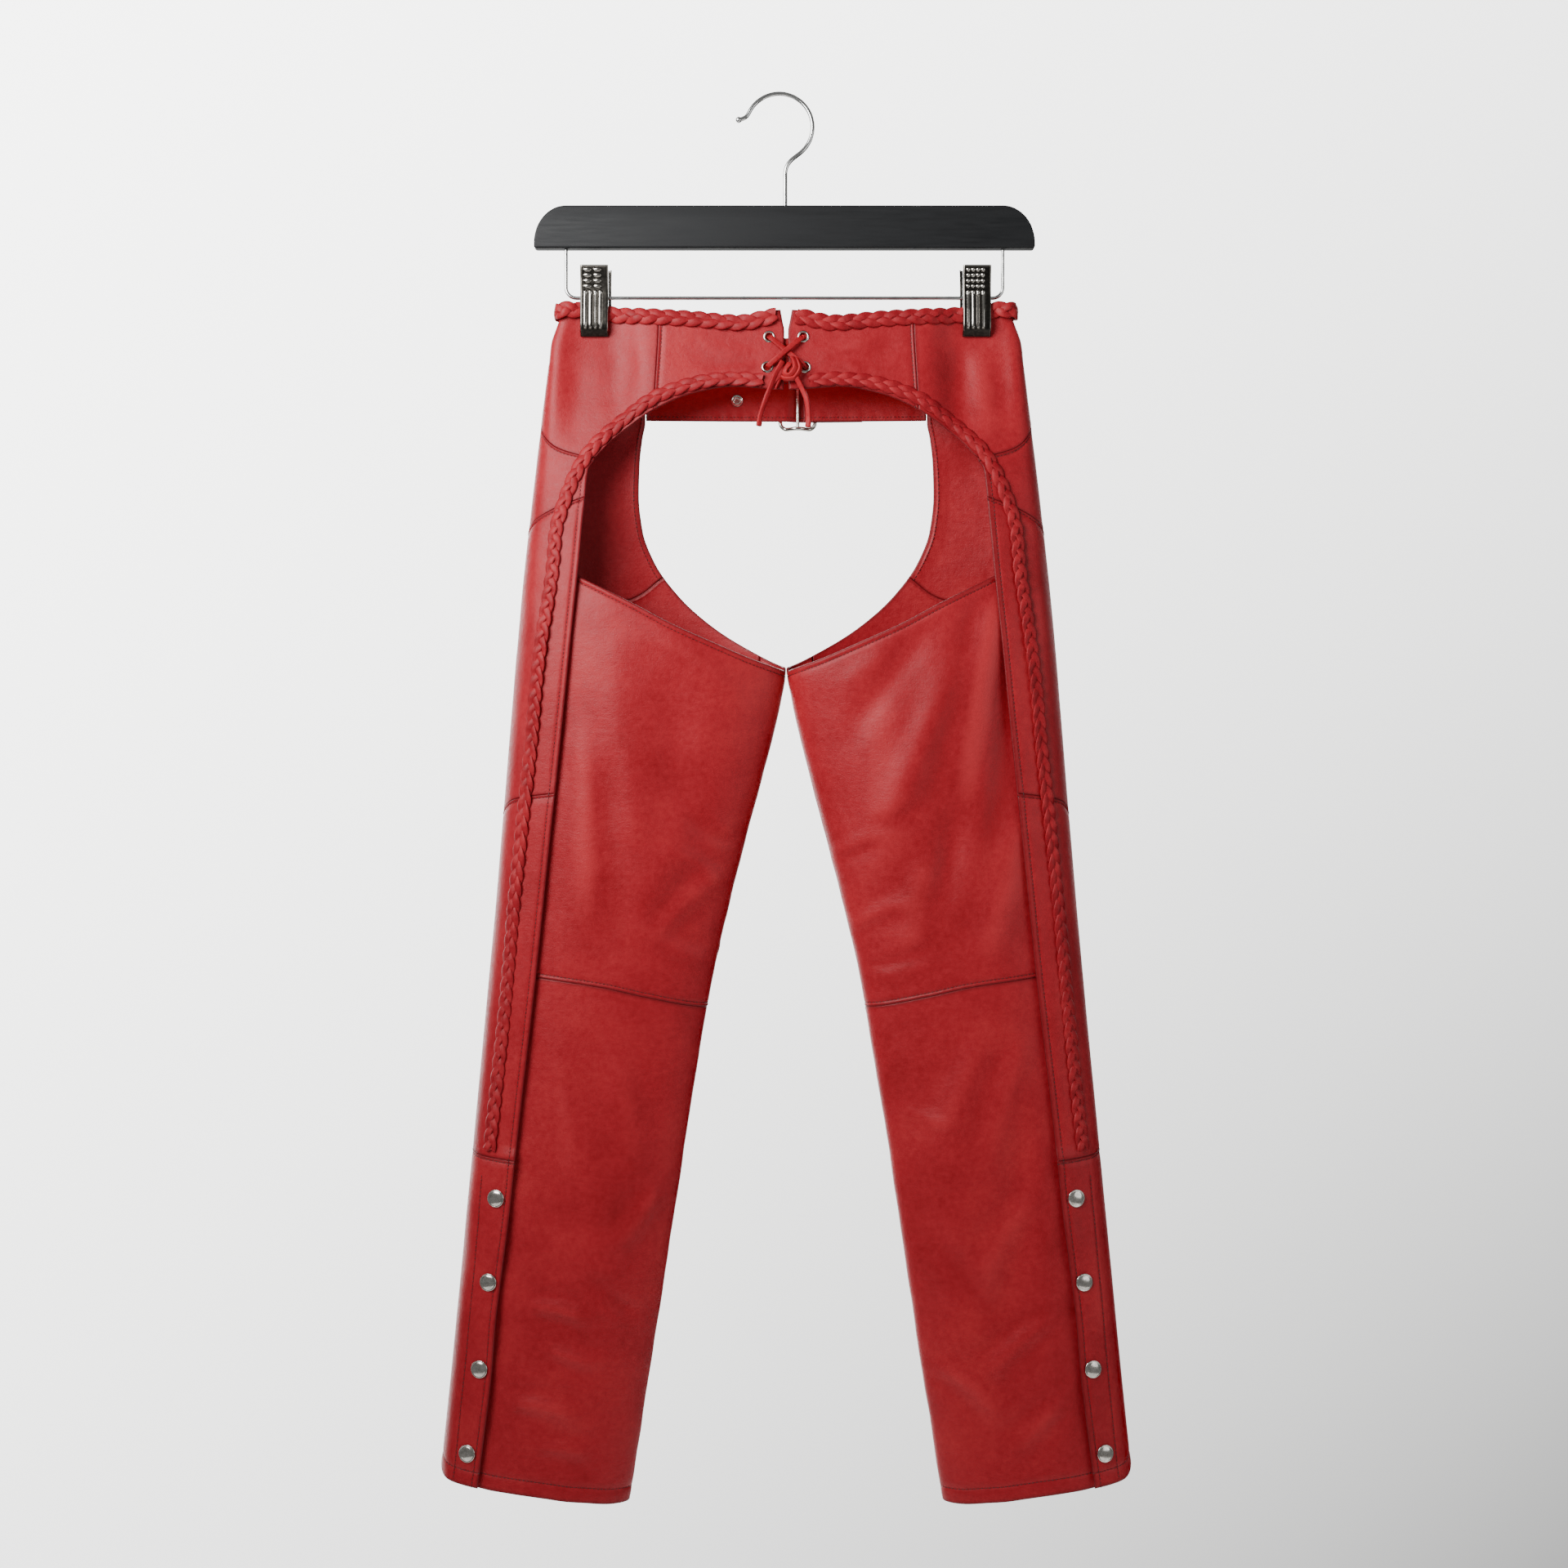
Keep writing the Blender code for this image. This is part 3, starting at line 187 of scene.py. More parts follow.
def clothPoints(side, turn, z, strip):
    # the middle of the leather, by how far round it lies and its height
    turn, z = np.broadcast_arrays(np.asarray(turn, float), np.asarray(z, float))
    turn = np.where(turn > 1, turn - 2, turn)
    outer, inner, near, far = (along(garment["levels"], z, i) for i in (1, 2, 3, 4))
    part = (1 - np.cos(np.pi * turn)) / 2
    x = outer + (inner - outer) * part
    opened = smoothStep(*garment["openAbove"], z)
    leg = np.abs(np.sin(np.pi * turn))
    waist = np.sqrt(np.clip(1 - (1 - part) ** 2, 0, None))
    front = turn < 0
    y = np.where(front, far, near) * ((1 - opened) * leg + opened * waist)
    rim = roundAt(along(garment["rim"], z), z)
    if strip:
        nearLift = garment["flapLift"] * smoothStep(0.02, 0.15, turn)
        nearLift = nearLift + gapeAt(z) * smoothStep(0.6, 1, turn / rim)
    else:
        inside = smoothStep(rim, 0.93, turn)
        nearLift = foldLift(side, x, z) * smoothStep(rim, rim + 0.14, turn) * (1 - inside**3)
        nearLift = nearLift - garment["flapTuck"] * np.exp(-(((turn - rim) / 0.06) ** 2))
    farLift = foldLift(-side, x, z) * 0.8 * np.sin(np.pi * turn) ** 2
    y = y + np.where(front, farLift, nearLift)
    pinch = smoothStep(*garment["pinchZ"], z)
    pinch = pinch * np.exp(-(((x - garment["clipX"]) / garment["pinchHalf"]) ** 4))
    y = y + (garment["pinchY"] - y) * pinch
    return np.stack([garment["middleX"] + side * x, np.where(front, y, -y), z], axis=-1)


def clothNormals(side, turn, z, strip):
    across = clothPoints(side, turn + 0.008, z, strip) - clothPoints(side, turn - 0.008, z, strip)
    up = clothPoints(side, turn, z + 1.5, strip) - clothPoints(side, turn, z - 1.5, strip)
    normal = np.cross(up, across) * side
    return normal / np.linalg.norm(normal, axis=-1, keepdims=True)


def stripTurn(across, z):
    # columns of the strip: -2 the lacing, -1 the yoke seam, 0 the rim, 1 the far seam, 2 the front
    across, z = np.broadcast_arrays(np.asarray(across, float), np.asarray(z, float))
    placket = roundAt(along(garment["placket"], z), z)
    yoke = roundAt(along(garment["yokeSeam"], z), z)
    rim = roundAt(along(garment["rim"], z), z)
    seam = -roundAt(along(garment["sideSeam"], z), z)
    front = np.minimum(roundAt(along(garment["frontEdge"], z), z), garment["inseam"])
    front = -np.where(z > -489, front, garment["inseam"])
    turn = np.where(across < -1, placket + (yoke - placket) * (across + 2),
                    yoke + (rim - yoke) * (across + 1))
    turn = np.where(across >= 0, rim + (seam - rim) * across, turn)
    return np.where(across > 1, seam + (front - seam) * (across - 1), turn)


def backTurn(across, z):
    under = roundAt(along(garment["rim"], z) + garment["underFlap"], z)
    return under + (2 - garment["inseam"] - garment["inseamExtra"] - under) * across


def edgeHeight(rows, turnOf, across):
    z = along(rows, np.full(np.shape(across), 100.0))
    for _ in range(8):
        z = along(rows, xAcross(turnOf(across, z), z))
    return z


def acrossSeam(name):
    return lambda across: along(garment["seams"][name], across)


def stripEdge(name):
    return lambda across: edgeHeight(garment[name], stripTurn, across)


def backEdge(name):
    return lambda across: edgeHeight(garment[name], backTurn, across)


def waistLine(across):
    side = -178.2 - 4.8 * smoothStep(0.56, 1, across)
    return np.where(across <= 0.56, edgeHeight(garment["waist"], stripTurn, across), side)


def archLine(across):
    arch = edgeHeight(garment["arch"], stripTurn, across)
    return np.where(across < 0, arch, along(garment["seams"]["hip"], across))


def thighTop(across):
    # past the crotch the back panel's top edge rises into the front's own edge
    frontRows = [row[::-1] for row in garment["frontEdge"][:4]]
    near = edgeHeight(garment["thighTop"], backTurn, across)
    far = edgeHeight(frontRows, backTurn, across)
    return np.where(backTurn(across, garment["thighTop"][0][1]) <= 1, near, far)


# The cut pieces: the stretch across, the edges, and what each edge is. An edge is sewn to its
# neighbour, turned under, or hidden below another piece; the number is its stitch line's inset.
panels = {
    "back_yoke": {"across": (-2, -1), "turn": stripTurn, "top": waistLine, "foot": archLine,
                  "strip": True, "edges": {"start": ("turned", None), "end": ("sewn", 3.0),
                                           "top": ("turned", None), "foot": ("turned", None)}},
    "side_yoke": {"across": (-1, 1), "turn": stripTurn, "top": waistLine, "foot": archLine,
                  "strip": True, "edges": {"start": ("sewn", None), "end": ("sewn", None),
                                           "top": ("turned", None), "foot": ("sewn", None)}},
    "side_band": {"across": (0, 1), "turn": stripTurn, "top": acrossSeam("hip"),
                  "foot": acrossSeam("seat"), "strip": True,
                  "edges": {"start": ("turned", 4.6), "end": ("sewn", None),
                            "top": ("sewn", 2.6), "foot": ("sewn", None)}},
    "front_upper": {"across": (1, 2), "turn": stripTurn, "top": stripEdge("frontTop"),
                    "foot": acrossSeam("seat"), "strip": True,
                    "edges": {"start": ("sewn", 3.0), "end": ("turned", 4.4),
                              "top": ("turned", 4.0), "foot": ("sewn", None)}},
    "front_thigh": {"across": (0, 2), "turn": stripTurn, "top": acrossSeam("seat"),
                    "foot": acrossSeam("thigh"), "strip": True,
                    "edges": {"start": ("turned", 5.2), "end": ("sewn", None),
                              "top": ("sewn", 2.6), "foot": ("sewn", None)}},
    "front_shin": {"across": (0, 2), "turn": stripTurn, "top": acrossSeam("thigh"),
                   "foot": acrossSeam("shin"), "strip": True,
                   "edges": {"start": ("turned", 5.2), "end": ("sewn", None),
                             "top": ("sewn", 2.6), "foot": ("sewn", None)}},
    "front_hem": {"across": (0, 2), "turn": stripTurn, "top": acrossSeam("shin"),
                  "foot": acrossSeam("hem"), "strip": True,
                  "edges": {"start": ("turned", 5.2), "end": ("sewn", None),
                            "top": ("sewn", 2.6), "foot": ("turned", 12.6)}},
    "back_thigh": {"across": (0, 1), "turn": backTurn, "top": thighTop, "foot": backEdge("knee"),
                   "strip": False, "edges": {"start": ("hidden", None), "end": ("sewn", None),
                                             "top": ("turned", 4.6), "foot": ("sewn", 3.4)}},
    "back_calf": {"across": (0, 1), "turn": backTurn, "top": backEdge("knee"),
                  "foot": backEdge("backHem"), "strip": False,
                  "edges": {"start": ("hidden", None), "end": ("sewn", None),
                            "top": ("sewn", None), "foot": ("turned", 12.6)}},
}

# Creases placed on the near wall: piece kind, side, from x and height, to x and height,
# bow to the side, width and lift. A trough has a lift below nothing.
creases = (
    ("back", 1, 184, -406, 146, -640, 4, 8.5, 3.2), ("back", 1, 198, -440, 168, -660, -3, 8.0, -2.4),
    ("back", 1, 80, -470, 88, -720, 2, 18.0, 1.8), ("back", 1, 200, -600, 160, -760, -5, 9.0, 1.9),
    ("back", 1, 120, -452, 40, -520, 7, 6.0, 0.6), ("back", 1, 118, -604, 48, -660, 4, 5.0, -0.9),
    ("back", 1, 38, -650, 96, -628, -3, 4.0, 1.3), ("back", 1, 54, -712, 112, -688, -4, 4.5, 1.4),
    ("back", 1, 66, -744, 128, -726, 3, 4.0, -1.1), ("back", 1, 128, -640, 100, -760, 5, 9.0, 1.6),
    ("back", -1, 186, -440, 150, -600, 4, 8.0, 0.6), ("back", -1, 176, -520, 168, -740, 5, 9.0, 1.8),
    ("back", -1, 148, -560, 142, -750, -4, 8.0, -1.3), ("back", -1, 114, -724, 50, -664, 5, 5.0, 1.5),
    ("back", -1, 52, -676, 104, -640, -3, 4.5, 1.2), ("back", -1, 44, -640, 88, -612, 3, 4.5, -1.0),
    ("back", -1, 66, -742, 132, -700, 5, 5.5, 1.2), ("back", -1, 120, -456, 36, -520, 5, 7.0, 1.2),
    ("back", 1, 204, -800, 170, -930, 5, 7.0, 1.5), ("back", 1, 168, -796, 116, -900, -4, 8.0, 1.6),
    ("back", 1, 216, -930, 160, -1030, 6, 7.0, 1.6), ("back", 1, 120, -960, 190, -1050, 5, 7.0, -1.2),
    ("back", 1, 226, -1040, 160, -1100, 4, 5.0, 1.9), ("back", 1, 128, -1080, 186, -1130, -4, 5.5, 1.9),
    ("back", 1, 236, -1110, 190, -1160, 3, 5.0, 1.7), ("back", 1, 96, -862, 150, -880, 3, 4.0, 1.0),
    ("back", -1, 200, -800, 184, -950, 6, 8.0, 1.4), ("back", -1, 150, -800, 128, -930, 5, 8.0, 1.4),
    ("back", -1, 220, -1030, 158, -1046, 3, 4.5, 2.0), ("back", -1, 206, -1064, 150, -1080, -3, 4.0, 1.8),
    ("back", -1, 232, -1112, 172, -1128, 4, 5.0, 2.1), ("back", -1, 212, -1150, 160, -1158, 3, 4.0, 1.6),
    ("back", -1, 108, -930, 150, -985, 4, 5.5, 1.7), ("back", -1, 126, -1040, 168, -1000, 4, 5.0, -1.7),
    ("strip", -1, 160, -212, 156, -300, 3, 12.0, 0.8), ("strip", -1, 138, -216, 122, -276, 3, 9.0, -0.5),
    ("strip", -1, 182, -226, 190, -330, 4, 9.0, -0.6), ("strip", 1, 166, -210, 178, -310, 3, 10.0, 1.3),
    ("strip", 1, 148, -212, 150, -292, -2, 7.0, -1.2), ("strip", 1, 186, -218, 197, -330, 4, 8.0, -0.9),
    ("strip", -1, 22, -232, 84, -244, 4, 3.6, 1.1), ("strip", -1, 24, -222, 78, -214, 3, 4.0, 0.7),
    ("strip", -1, 26, -240, 70, -258, 3, 3.6, -0.8), ("strip", 1, 22, -224, 80, -206, 3, 4.0, 0.9),
    ("strip", 1, 24, -232, 66, -238, -3, 3.6, 0.8), ("strip", 1, 60, -236, 96, -208, 3, 5.0, -0.8),
    ("strip", -1, 216, -420, 206, -560, 3, 7.0, 1.2), ("strip", 1, 214, -400, 212, -560, -3, 7.0, 1.2),
    ("strip", -1, 232, -640, 222, -860, 4, 8.0, 1.2), ("strip", 1, 230, -650, 226, -870, -3, 8.0, 1.3),
    ("strip", -1, 262, -960, 254, -1120, 4, 7.0, 1.0), ("strip", 1, 258, -930, 264, -1100, -4, 7.0, 1.1),
)


def creaseLift(kind, side, x, z, front):
    lift = np.zeros(np.shape(x))
    for row, (creaseKind, creaseSide, x0, z0, x1, z1, bow, width, height) in enumerate(creases):
        # the far wall, which isn't seen, takes the other leg's creases, moved a little
        wanted = side if not front else -side
        if creaseKind != kind or creaseSide != wanted:
            continue
        drop = 23 * math.sin(row * 2.4) if front else 0
        run, rise = x1 - x0, z1 - z0
        length = math.hypot(run, rise)
        t = ((x - x0) * run + (z - z0 - drop) * rise) / length**2
        away = ((x - x0) * rise - (z - z0 - drop) * run) / length - bow * 4 * t * (1 - t)
        spread = width * (1.15 + 0.75 * np.clip(t, 0, 1))
        shape = np.exp(-((away / spread) ** 2))
        shape = shape - 0.42 * np.exp(-(((away - 1.7 * spread) / spread) ** 2))
        shape = shape - 0.3 * np.exp(-(((away + 1.8 * spread) / spread) ** 2))
        lift = lift + height * shape * smoothStep(-0.05, 0.25, t) * smoothStep(-0.05, 0.35, 1 - t)
    return lift


leather = {
    "cell": 3.3,              # how far apart the skin's points lie
    "sewnRadius": 0.9,
    "turnedRadius": 1.15,
    "hemWidth": 9.0,          # how wide the turned edge is inside
    "hemExtra": 0.7,
    "pucker": 0.42,
    "puckerPitch": 7.5,
    "seamGap": -0.5,          # sewn edges run this far into each other
    "groove": 0.55,           # how deep a stitch row draws the leather in
    "uneven": ((70, 0.9), (26, 0.42), (10, 0.13)),   # size of a swell, and how high
}


secondRow = ((-922, 258.0), (-960, 261.0), (-1010, 265.3), (-1080, 272.0), (-1150, 279.0),
             (-1176, 281.7))                          # height and x of the row beside the snaps


def edgeCuts(length, cell, insets=(None, None), extra=()):
    # places for the skin's lines: close by both edges, round the stitch rows, then even
    near = [0, 0.22, 0.6, 1.15, 2.0]
    count = max(round((length - 4) / cell), 2)
    middle = [2 + (length - 4) * i / count for i in range(1, count)]
    kept = near + [length - cut for cut in near] + list(extra)
    first, last = insets
    for inset, start, way in ((first, 0, 1), (last, length, -1)):
        if inset:
            kept += [start + way * (inset + off) for off in (-1.1, -0.55, 0, 0.55, 1.1)
                     if inset + off > 2.2]
    for cut in middle:
        if min(abs(cut - line) for line in kept) > 0.5 * cell:
            kept.append(cut)
    return np.unique(np.round(kept, 6))


def lengths(points, axis):
    steps = np.linalg.norm(np.diff(points, axis=axis), axis=-1)
    start = np.zeros_like(np.take(steps, [0], axis=axis))
    return np.concatenate([start, np.cumsum(steps, axis=axis)], axis=axis)


def noiseField(points, size, seed):
    flat = points.reshape(-1, 3) / size
    shift = Vector((seed * 7.3, seed * 3.1, seed * 5.7))
    values = [noise.noise(Vector(p) + shift) for p in flat]
    return np.array(values).reshape(points.shape[:-1])


def panelSurface(side, name):
    # the piece's middle surface as rows of points, with what its skins need
    panel = panels[name]
    start, end = panel["across"]
    strip = panel["strip"]
    dense = np.linspace(start, end, 500)
    middleZ = (panel["top"](dense) + panel["foot"](dense)) / 2
    line = clothPoints(side, panel["turn"](dense, middleZ), middleZ, strip)
    arc = lengths(line[None], 1)[0]
    insets = {edge: inset for edge, (_, inset) in panel["edges"].items()}
    beside = ()
    if name == "front_hem":
        # close lines of points along the row beside the snaps
        turns = panel["turn"](dense, middleZ)
        rowTurn = roundAt(along(secondRow, middleZ[0]), middleZ[0])
        beside = arc[np.argmin(np.abs(turns - rowTurn))] + np.linspace(-4.5, 4.5, 13)
    cuts = edgeCuts(arc[-1], leather["cell"], (insets["start"], insets["end"]), beside)
    across = np.interp(cuts, arc, dense)
    top, foot = panel["top"](across), panel["foot"](across)
    height = float(np.mean(top - foot))
    corner = ()
    if name == "front_thigh":
        # a line of points at the height where the front's edge meets the inside seam
        tries = np.linspace(-487, -465, 400)
        corner = tries[roundAt(along(garment["frontEdge"], tries), tries) < garment["inseam"]][0]
        corner = ((top[-1] - corner) / (top[-1] - foot[-1]) * height,)
    down = edgeCuts(height, leather["cell"], (insets["top"], insets["foot"]), corner)[:, None] / height
    z = top * (1 - down) + foot * down
    turn = panel["turn"](across[None], z)
    points, normals = clothPoints(side, turn, z, strip), clothNormals(side, turn, z, strip)
    downward, sideways = lengths(points, 0), lengths(points, 1)
    apart = {"top": downward, "foot": downward[-1:] - downward,
             "start": sideways, "end": sideways[:, -1:] - sideways}
    half = leather["seamGap"] / 2
    points[0] += (points[1] - points[0]) * half / np.maximum(apart["top"][1:2].T, half)
    points[-1] += (points[-2] - points[-1]) * half / np.maximum(apart["foot"][-2:-1].T, half)
    points[:, 0] += (points[:, 1] - points[:, 0]) * half / np.maximum(apart["start"][:, 1:2], half)
    # the thigh's top corner at the inside seam laps further over its neighbour
    lap = 1.7 * np.exp(-downward[:, -2:-1] / 16) if name == "back_thigh" else 0
    points[:, -1] += ((points[:, -2] - points[:, -1]) * (half - lap)
                      / np.maximum(apart["end"][:, -2:-1], 0.05))
    kind = "strip" if strip else "back"
    front = np.where(turn > 1, turn - 2, turn) < 0
    x = (points[..., 0] - garment["middleX"]) * side
    relief = np.where(front, creaseLift(kind, side, x, z, True), creaseLift(kind, side, x, z, False))
    calm = smoothStep(0, 0.1, np.abs(turn)) if strip else 1.0
    seed = 1 + list(panels).index(name) + (20 if side > 0 else 0)
    for size, lift in leather["uneven"]:
        relief = relief + lift * noiseField(points, size, seed) * calm
    nearest = np.full(z.shape, 99.0)
    seamDirtAndPaintedShade, thicker = np.zeros(z.shape), np.zeros(z.shape)
    for edge, (edgeKind, inset) in panel["edges"].items():
        away = apart[edge]
        if edgeKind == "hidden":
            nearest = np.minimum(nearest, away)
            continue
        relief = relief * (0.25 + 0.75 * smoothStep(2, 24, away))
        radius = leather["turnedRadius" if edgeKind == "turned" else "sewnRadius"]
        nearest = np.minimum(nearest, away * leather["sewnRadius"] / radius)
        # darker towards every edge: dirt at the seams, with painted shade
        seamDirtAndPaintedShade = np.maximum(seamDirtAndPaintedShade, np.exp(-away / 3.0))
        runs = apart["start"] if edge in ("top", "foot") else apart["top"]
        ripple = np.sin(math.tau * runs / leather["puckerPitch"] + 3 * noiseField(points, 30, seed + 3))
        strong = 0.55 + 0.9 * noiseField(points, 24, seed + 7)
        reach = np.exp(-away / 7.5) * smoothStep(0, 2.5, away)
        relief = relief + leather["pucker"] * ripple * strong * reach
        if edgeKind == "turned":
            thicker = np.maximum(thicker, 1 - smoothStep(leather["hemWidth"], leather["hemWidth"] + 1.6, away))
        if inset:
            relief = relief - leather["groove"] * np.exp(-(((away - inset) / 0.85) ** 2))
            # painted shade in the stitch row's groove
            seamDirtAndPaintedShade = np.maximum(seamDirtAndPaintedShade, 0.72 * np.exp(-(((away - inset) / 0.6) ** 2)))
            relief = relief + 0.3 * np.exp(-(((away - inset * 0.45) / (inset * 0.3)) ** 2))
    if name == "front_hem":
        away = np.where(front, 99.0, np.abs(x - along(secondRow, z)))
        drawn = np.where((z < secondRow[0][0]) & (z > secondRow[-1][0]), 1.0, 0.0)
        relief = relief - leather["groove"] * drawn * np.exp(-((away / 0.9) ** 2))
        # painted shade in the groove of the row beside the snaps
        seamDirtAndPaintedShade = np.maximum(seamDirtAndPaintedShade, 0.72 * drawn * np.exp(-((away / 0.8) ** 2)))
    return {"points": points, "normals": normals, "relief": relief, "nearest": nearest,
            "shade": seamDirtAndPaintedShade, "thicker": thicker, "apart": apart, "front": front}


def skinOffsets(surface):
    # the outer and the inner skin, rounded together at the rims
    rounded = np.clip(surface["nearest"] / leather["sewnRadius"], 0, 1)
    half = garment["wall"] / 2 * np.sqrt(1 - (1 - rounded) ** 2)
    inner = -half - leather["hemExtra"] * surface["thicker"] * np.sqrt(1 - (1 - rounded) ** 2)
    return surface["relief"] + half, surface["relief"] + inner


def hexColour(code, alpha=1.0):
    # a web colour as the linear one that Blender works in
    values = [int(code[i:i + 2], 16) / 255 for i in (1, 3, 5)]
    linear = [v / 12.92 if v <= 0.04045 else ((v + 0.055) / 1.055) ** 2.4 for v in values]
    return (*linear, alpha)


def addNode(tree, kind, inputs=None, **settings):
    node = tree.nodes.new(kind)
    for name, value in settings.items():
        setattr(node, name, value)
    for socket, value in (inputs or {}).items():
        if isinstance(value, bpy.types.NodeSocket):
            tree.links.new(value, node.inputs[socket])
        else:
            node.inputs[socket].default_value = value
    return node


def newMaterial(name, shaderValues):
    made = bpy.data.materials.new(name)
    made.use_nodes = True
    tree = made.node_tree
    shader = tree.nodes["Principled BSDF"]
    for socket, value in shaderValues.items():
        shader.inputs[socket].default_value = value
    return made, tree, shader


def ramp(tree, factor, stops, interpolation="LINEAR"):
    node = addNode(tree, "ShaderNodeValToRGB", {"Fac": factor})
    node.color_ramp.interpolation = interpolation
    elements = node.color_ramp.elements
    while len(elements) < len(stops):
        elements.new(0.5)
    for element, (place, colour) in zip(elements, stops):
        element.position = place
        element.color = hexColour(colour)
    return node.outputs["Color"]


# Nappa garment leather, drum dyed and lightly glazed: a soft broad gloss, a fine pebble with
# pin creases, colour a little lighter on raised places (wear on the panels' fold ridges, a painted
# highlight on the plait's and knot's proud strands), painted shade deeper in hollows and low
# strands, and deeper by the seams (dirt, with painted shade along the edges and stitch grooves)
nappa = {
    # the seam colour is dirt with painted shade by the edges; the ridge colour is wear on fold ridges and a painted
    # highlight on proud strands
    "deep": "#841019", "middle": "#951A23", "light": "#A5262B", "seam": "#4C060C",
    "ridgeWearAndHighlight": "#BA363A", "roughness": 0.42, "pebble": 1.5, "mottle": 4.5, "cloud": 60.0,
}


def leatherMaterial(name, colours, roughness, pebble, coat):
    made, tree, shader = newMaterial(name, {"Roughness": roughness, "Coat Weight": coat,
                                            "Coat Roughness": 0.3, "Specular IOR Level": 0.26,
                                            "Specular Tint": hexColour("#FFD6D4")})
    where = addNode(tree, "ShaderNodeTexCoord").outputs["Object"]
    cloud = addNode(tree, "ShaderNodeTexNoise", {"Vector": where, "Scale": 1000 / colours["cloud"],
                                                 "Detail": 4.0, "Roughness": 0.6})
    mottle = addNode(tree, "ShaderNodeTexNoise", {"Vector": where, "Scale": 1000 / colours["mottle"],
                                                  "Detail": 5.0, "Roughness": 0.65})
    both = addNode(tree, "ShaderNodeMix", {0: 0.42, 2: cloud.outputs["Fac"],
                                           3: mottle.outputs["Fac"]}, data_type="FLOAT")
    body = ramp(tree, both.outputs[0], ((0.30, colours["deep"]), (0.5, colours["middle"]),
                                        (0.72, colours["light"])))
    relief = addNode(tree, "ShaderNodeAttribute", attribute_name="relief").outputs["Fac"]
    # lighter on raised places: wear on the panels' fold ridges, a painted highlight on the plait's and knot's proud
    # strands
    ridgeWearAndHighlight = addNode(tree, "ShaderNodeMapRange", {0: relief, 1: 0.62, 2: 1.0, 3: 0.0, 4: 0.5})
    worn = addNode(tree, "ShaderNodeMix", {0: ridgeWearAndHighlight.outputs[0], 6: body,
                                           7: hexColour(colours["ridgeWearAndHighlight"])}, data_type="RGBA")
    # painted shade: darker in crease hollows and on low strands and turns
    paintedCreaseShade = addNode(tree, "ShaderNodeMapRange", {0: relief, 1: 0.42, 2: 0.1, 3: 0.0, 4: 0.55})
    creaseShaded = addNode(tree, "ShaderNodeMix", {0: paintedCreaseShade.outputs[0], 6: worn.outputs[2],
                                           7: hexColour(colours["deep"])}, data_type="RGBA")
    # darkening from the seam attribute: dirt by the seams, and painted shade along the edges and stitch grooves
    seam = addNode(tree, "ShaderNodeAttribute", attribute_name="seam").outputs["Fac"]
    seamDirtAndShade = addNode(tree, "ShaderNodeMapRange", {0: seam, 1: 0.35, 2: 1.0, 3: 0.0, 4: 0.8})
    final = addNode(tree, "ShaderNodeMix", {0: seamDirtAndShade.outputs[0], 6: creaseShaded.outputs[2],
                                            7: hexColour(colours["seam"])}, data_type="RGBA")
    tree.links.new(final.outputs[2], shader.inputs["Base Color"])
    gloss = addNode(tree, "ShaderNodeMapRange", {0: mottle.outputs["Fac"], 1: 0.3, 2: 0.7,
                                                 3: roughness - 0.07, 4: roughness + 0.09})
    tree.links.new(gloss.outputs[0], shader.inputs["Roughness"])
    cells = addNode(tree, "ShaderNodeTexVoronoi", {"Vector": where, "Scale": 1000 / pebble,
                                                   "Randomness": 1.0}, feature="DISTANCE_TO_EDGE")
    grain = addNode(tree, "ShaderNodeMapRange", {0: cells.outputs["Distance"], 1: 0.0, 2: 0.22,
                                                 3: 0.0, 4: 1.0})
    crackle = addNode(tree, "ShaderNodeTexNoise", {"Vector": where, "Scale": 1000 / 7.0,
                                                   "Detail": 6.0, "Roughness": 0.7,
                                                   "Distortion": 0.6})
    # fine drag lines that slant down across the hide
    slanted = addNode(tree, "ShaderNodeMapping", {"Vector": where, "Rotation": (0, 0.55, 0),
                                                  "Scale": (0.22, 0.6, 1.0)})
    drag = addNode(tree, "ShaderNodeTexNoise", {"Vector": slanted.outputs["Vector"],
                                                "Scale": 1000 / 3.4, "Detail": 4.0,
                                                "Roughness": 0.6, "Distortion": 0.5})
    dragged = addNode(tree, "ShaderNodeBump", {"Strength": 0.3, "Distance": 0.0007,
                                               "Height": drag.outputs["Fac"]})
    low = addNode(tree, "ShaderNodeBump", {"Strength": 0.34, "Distance": 0.0011,
                                           "Height": crackle.outputs["Fac"],
                                           "Normal": dragged.outputs["Normal"]})
    mid = addNode(tree, "ShaderNodeBump", {"Strength": 0.3, "Distance": 0.0005,
                                           "Height": mottle.outputs["Fac"],
                                           "Normal": low.outputs["Normal"]})
    fine = addNode(tree, "ShaderNodeBump", {"Strength": 0.32, "Distance": 0.00012,
                                            "Height": grain.outputs[0],
                                            "Normal": mid.outputs["Normal"]})
    tree.links.new(fine.outputs["Normal"], shader.inputs["Normal"])
    return made


garmentLeather = leatherMaterial("nappa garment leather, drum dyed", nappa, nappa["roughness"],
                                 nappa["pebble"], 0.05)


def pieceFrom(name, verts, faces, material, attributes=None, smoothAngle=None):
    # vertices in millimetres become a finished object at the origin
    mesh = bpy.data.meshes.new(name)
    mesh.from_pydata([tuple(v) for v in np.asarray(verts) * mm], [], faces)
    mesh.materials.append(material)
    for key, values in (attributes or {}).items():
        layer = mesh.attributes.new(key, "FLOAT", "POINT")
        layer.data.foreach_set("value", np.asarray(values, dtype=np.float32).ravel())
    mesh.shade_smooth()
    if smoothAngle:
        mesh.set_sharp_from_angle(angle=math.radians(smoothAngle))
    made = bpy.data.objects.new(name, mesh)
    bpy.context.scene.collection.objects.link(made)
    return made


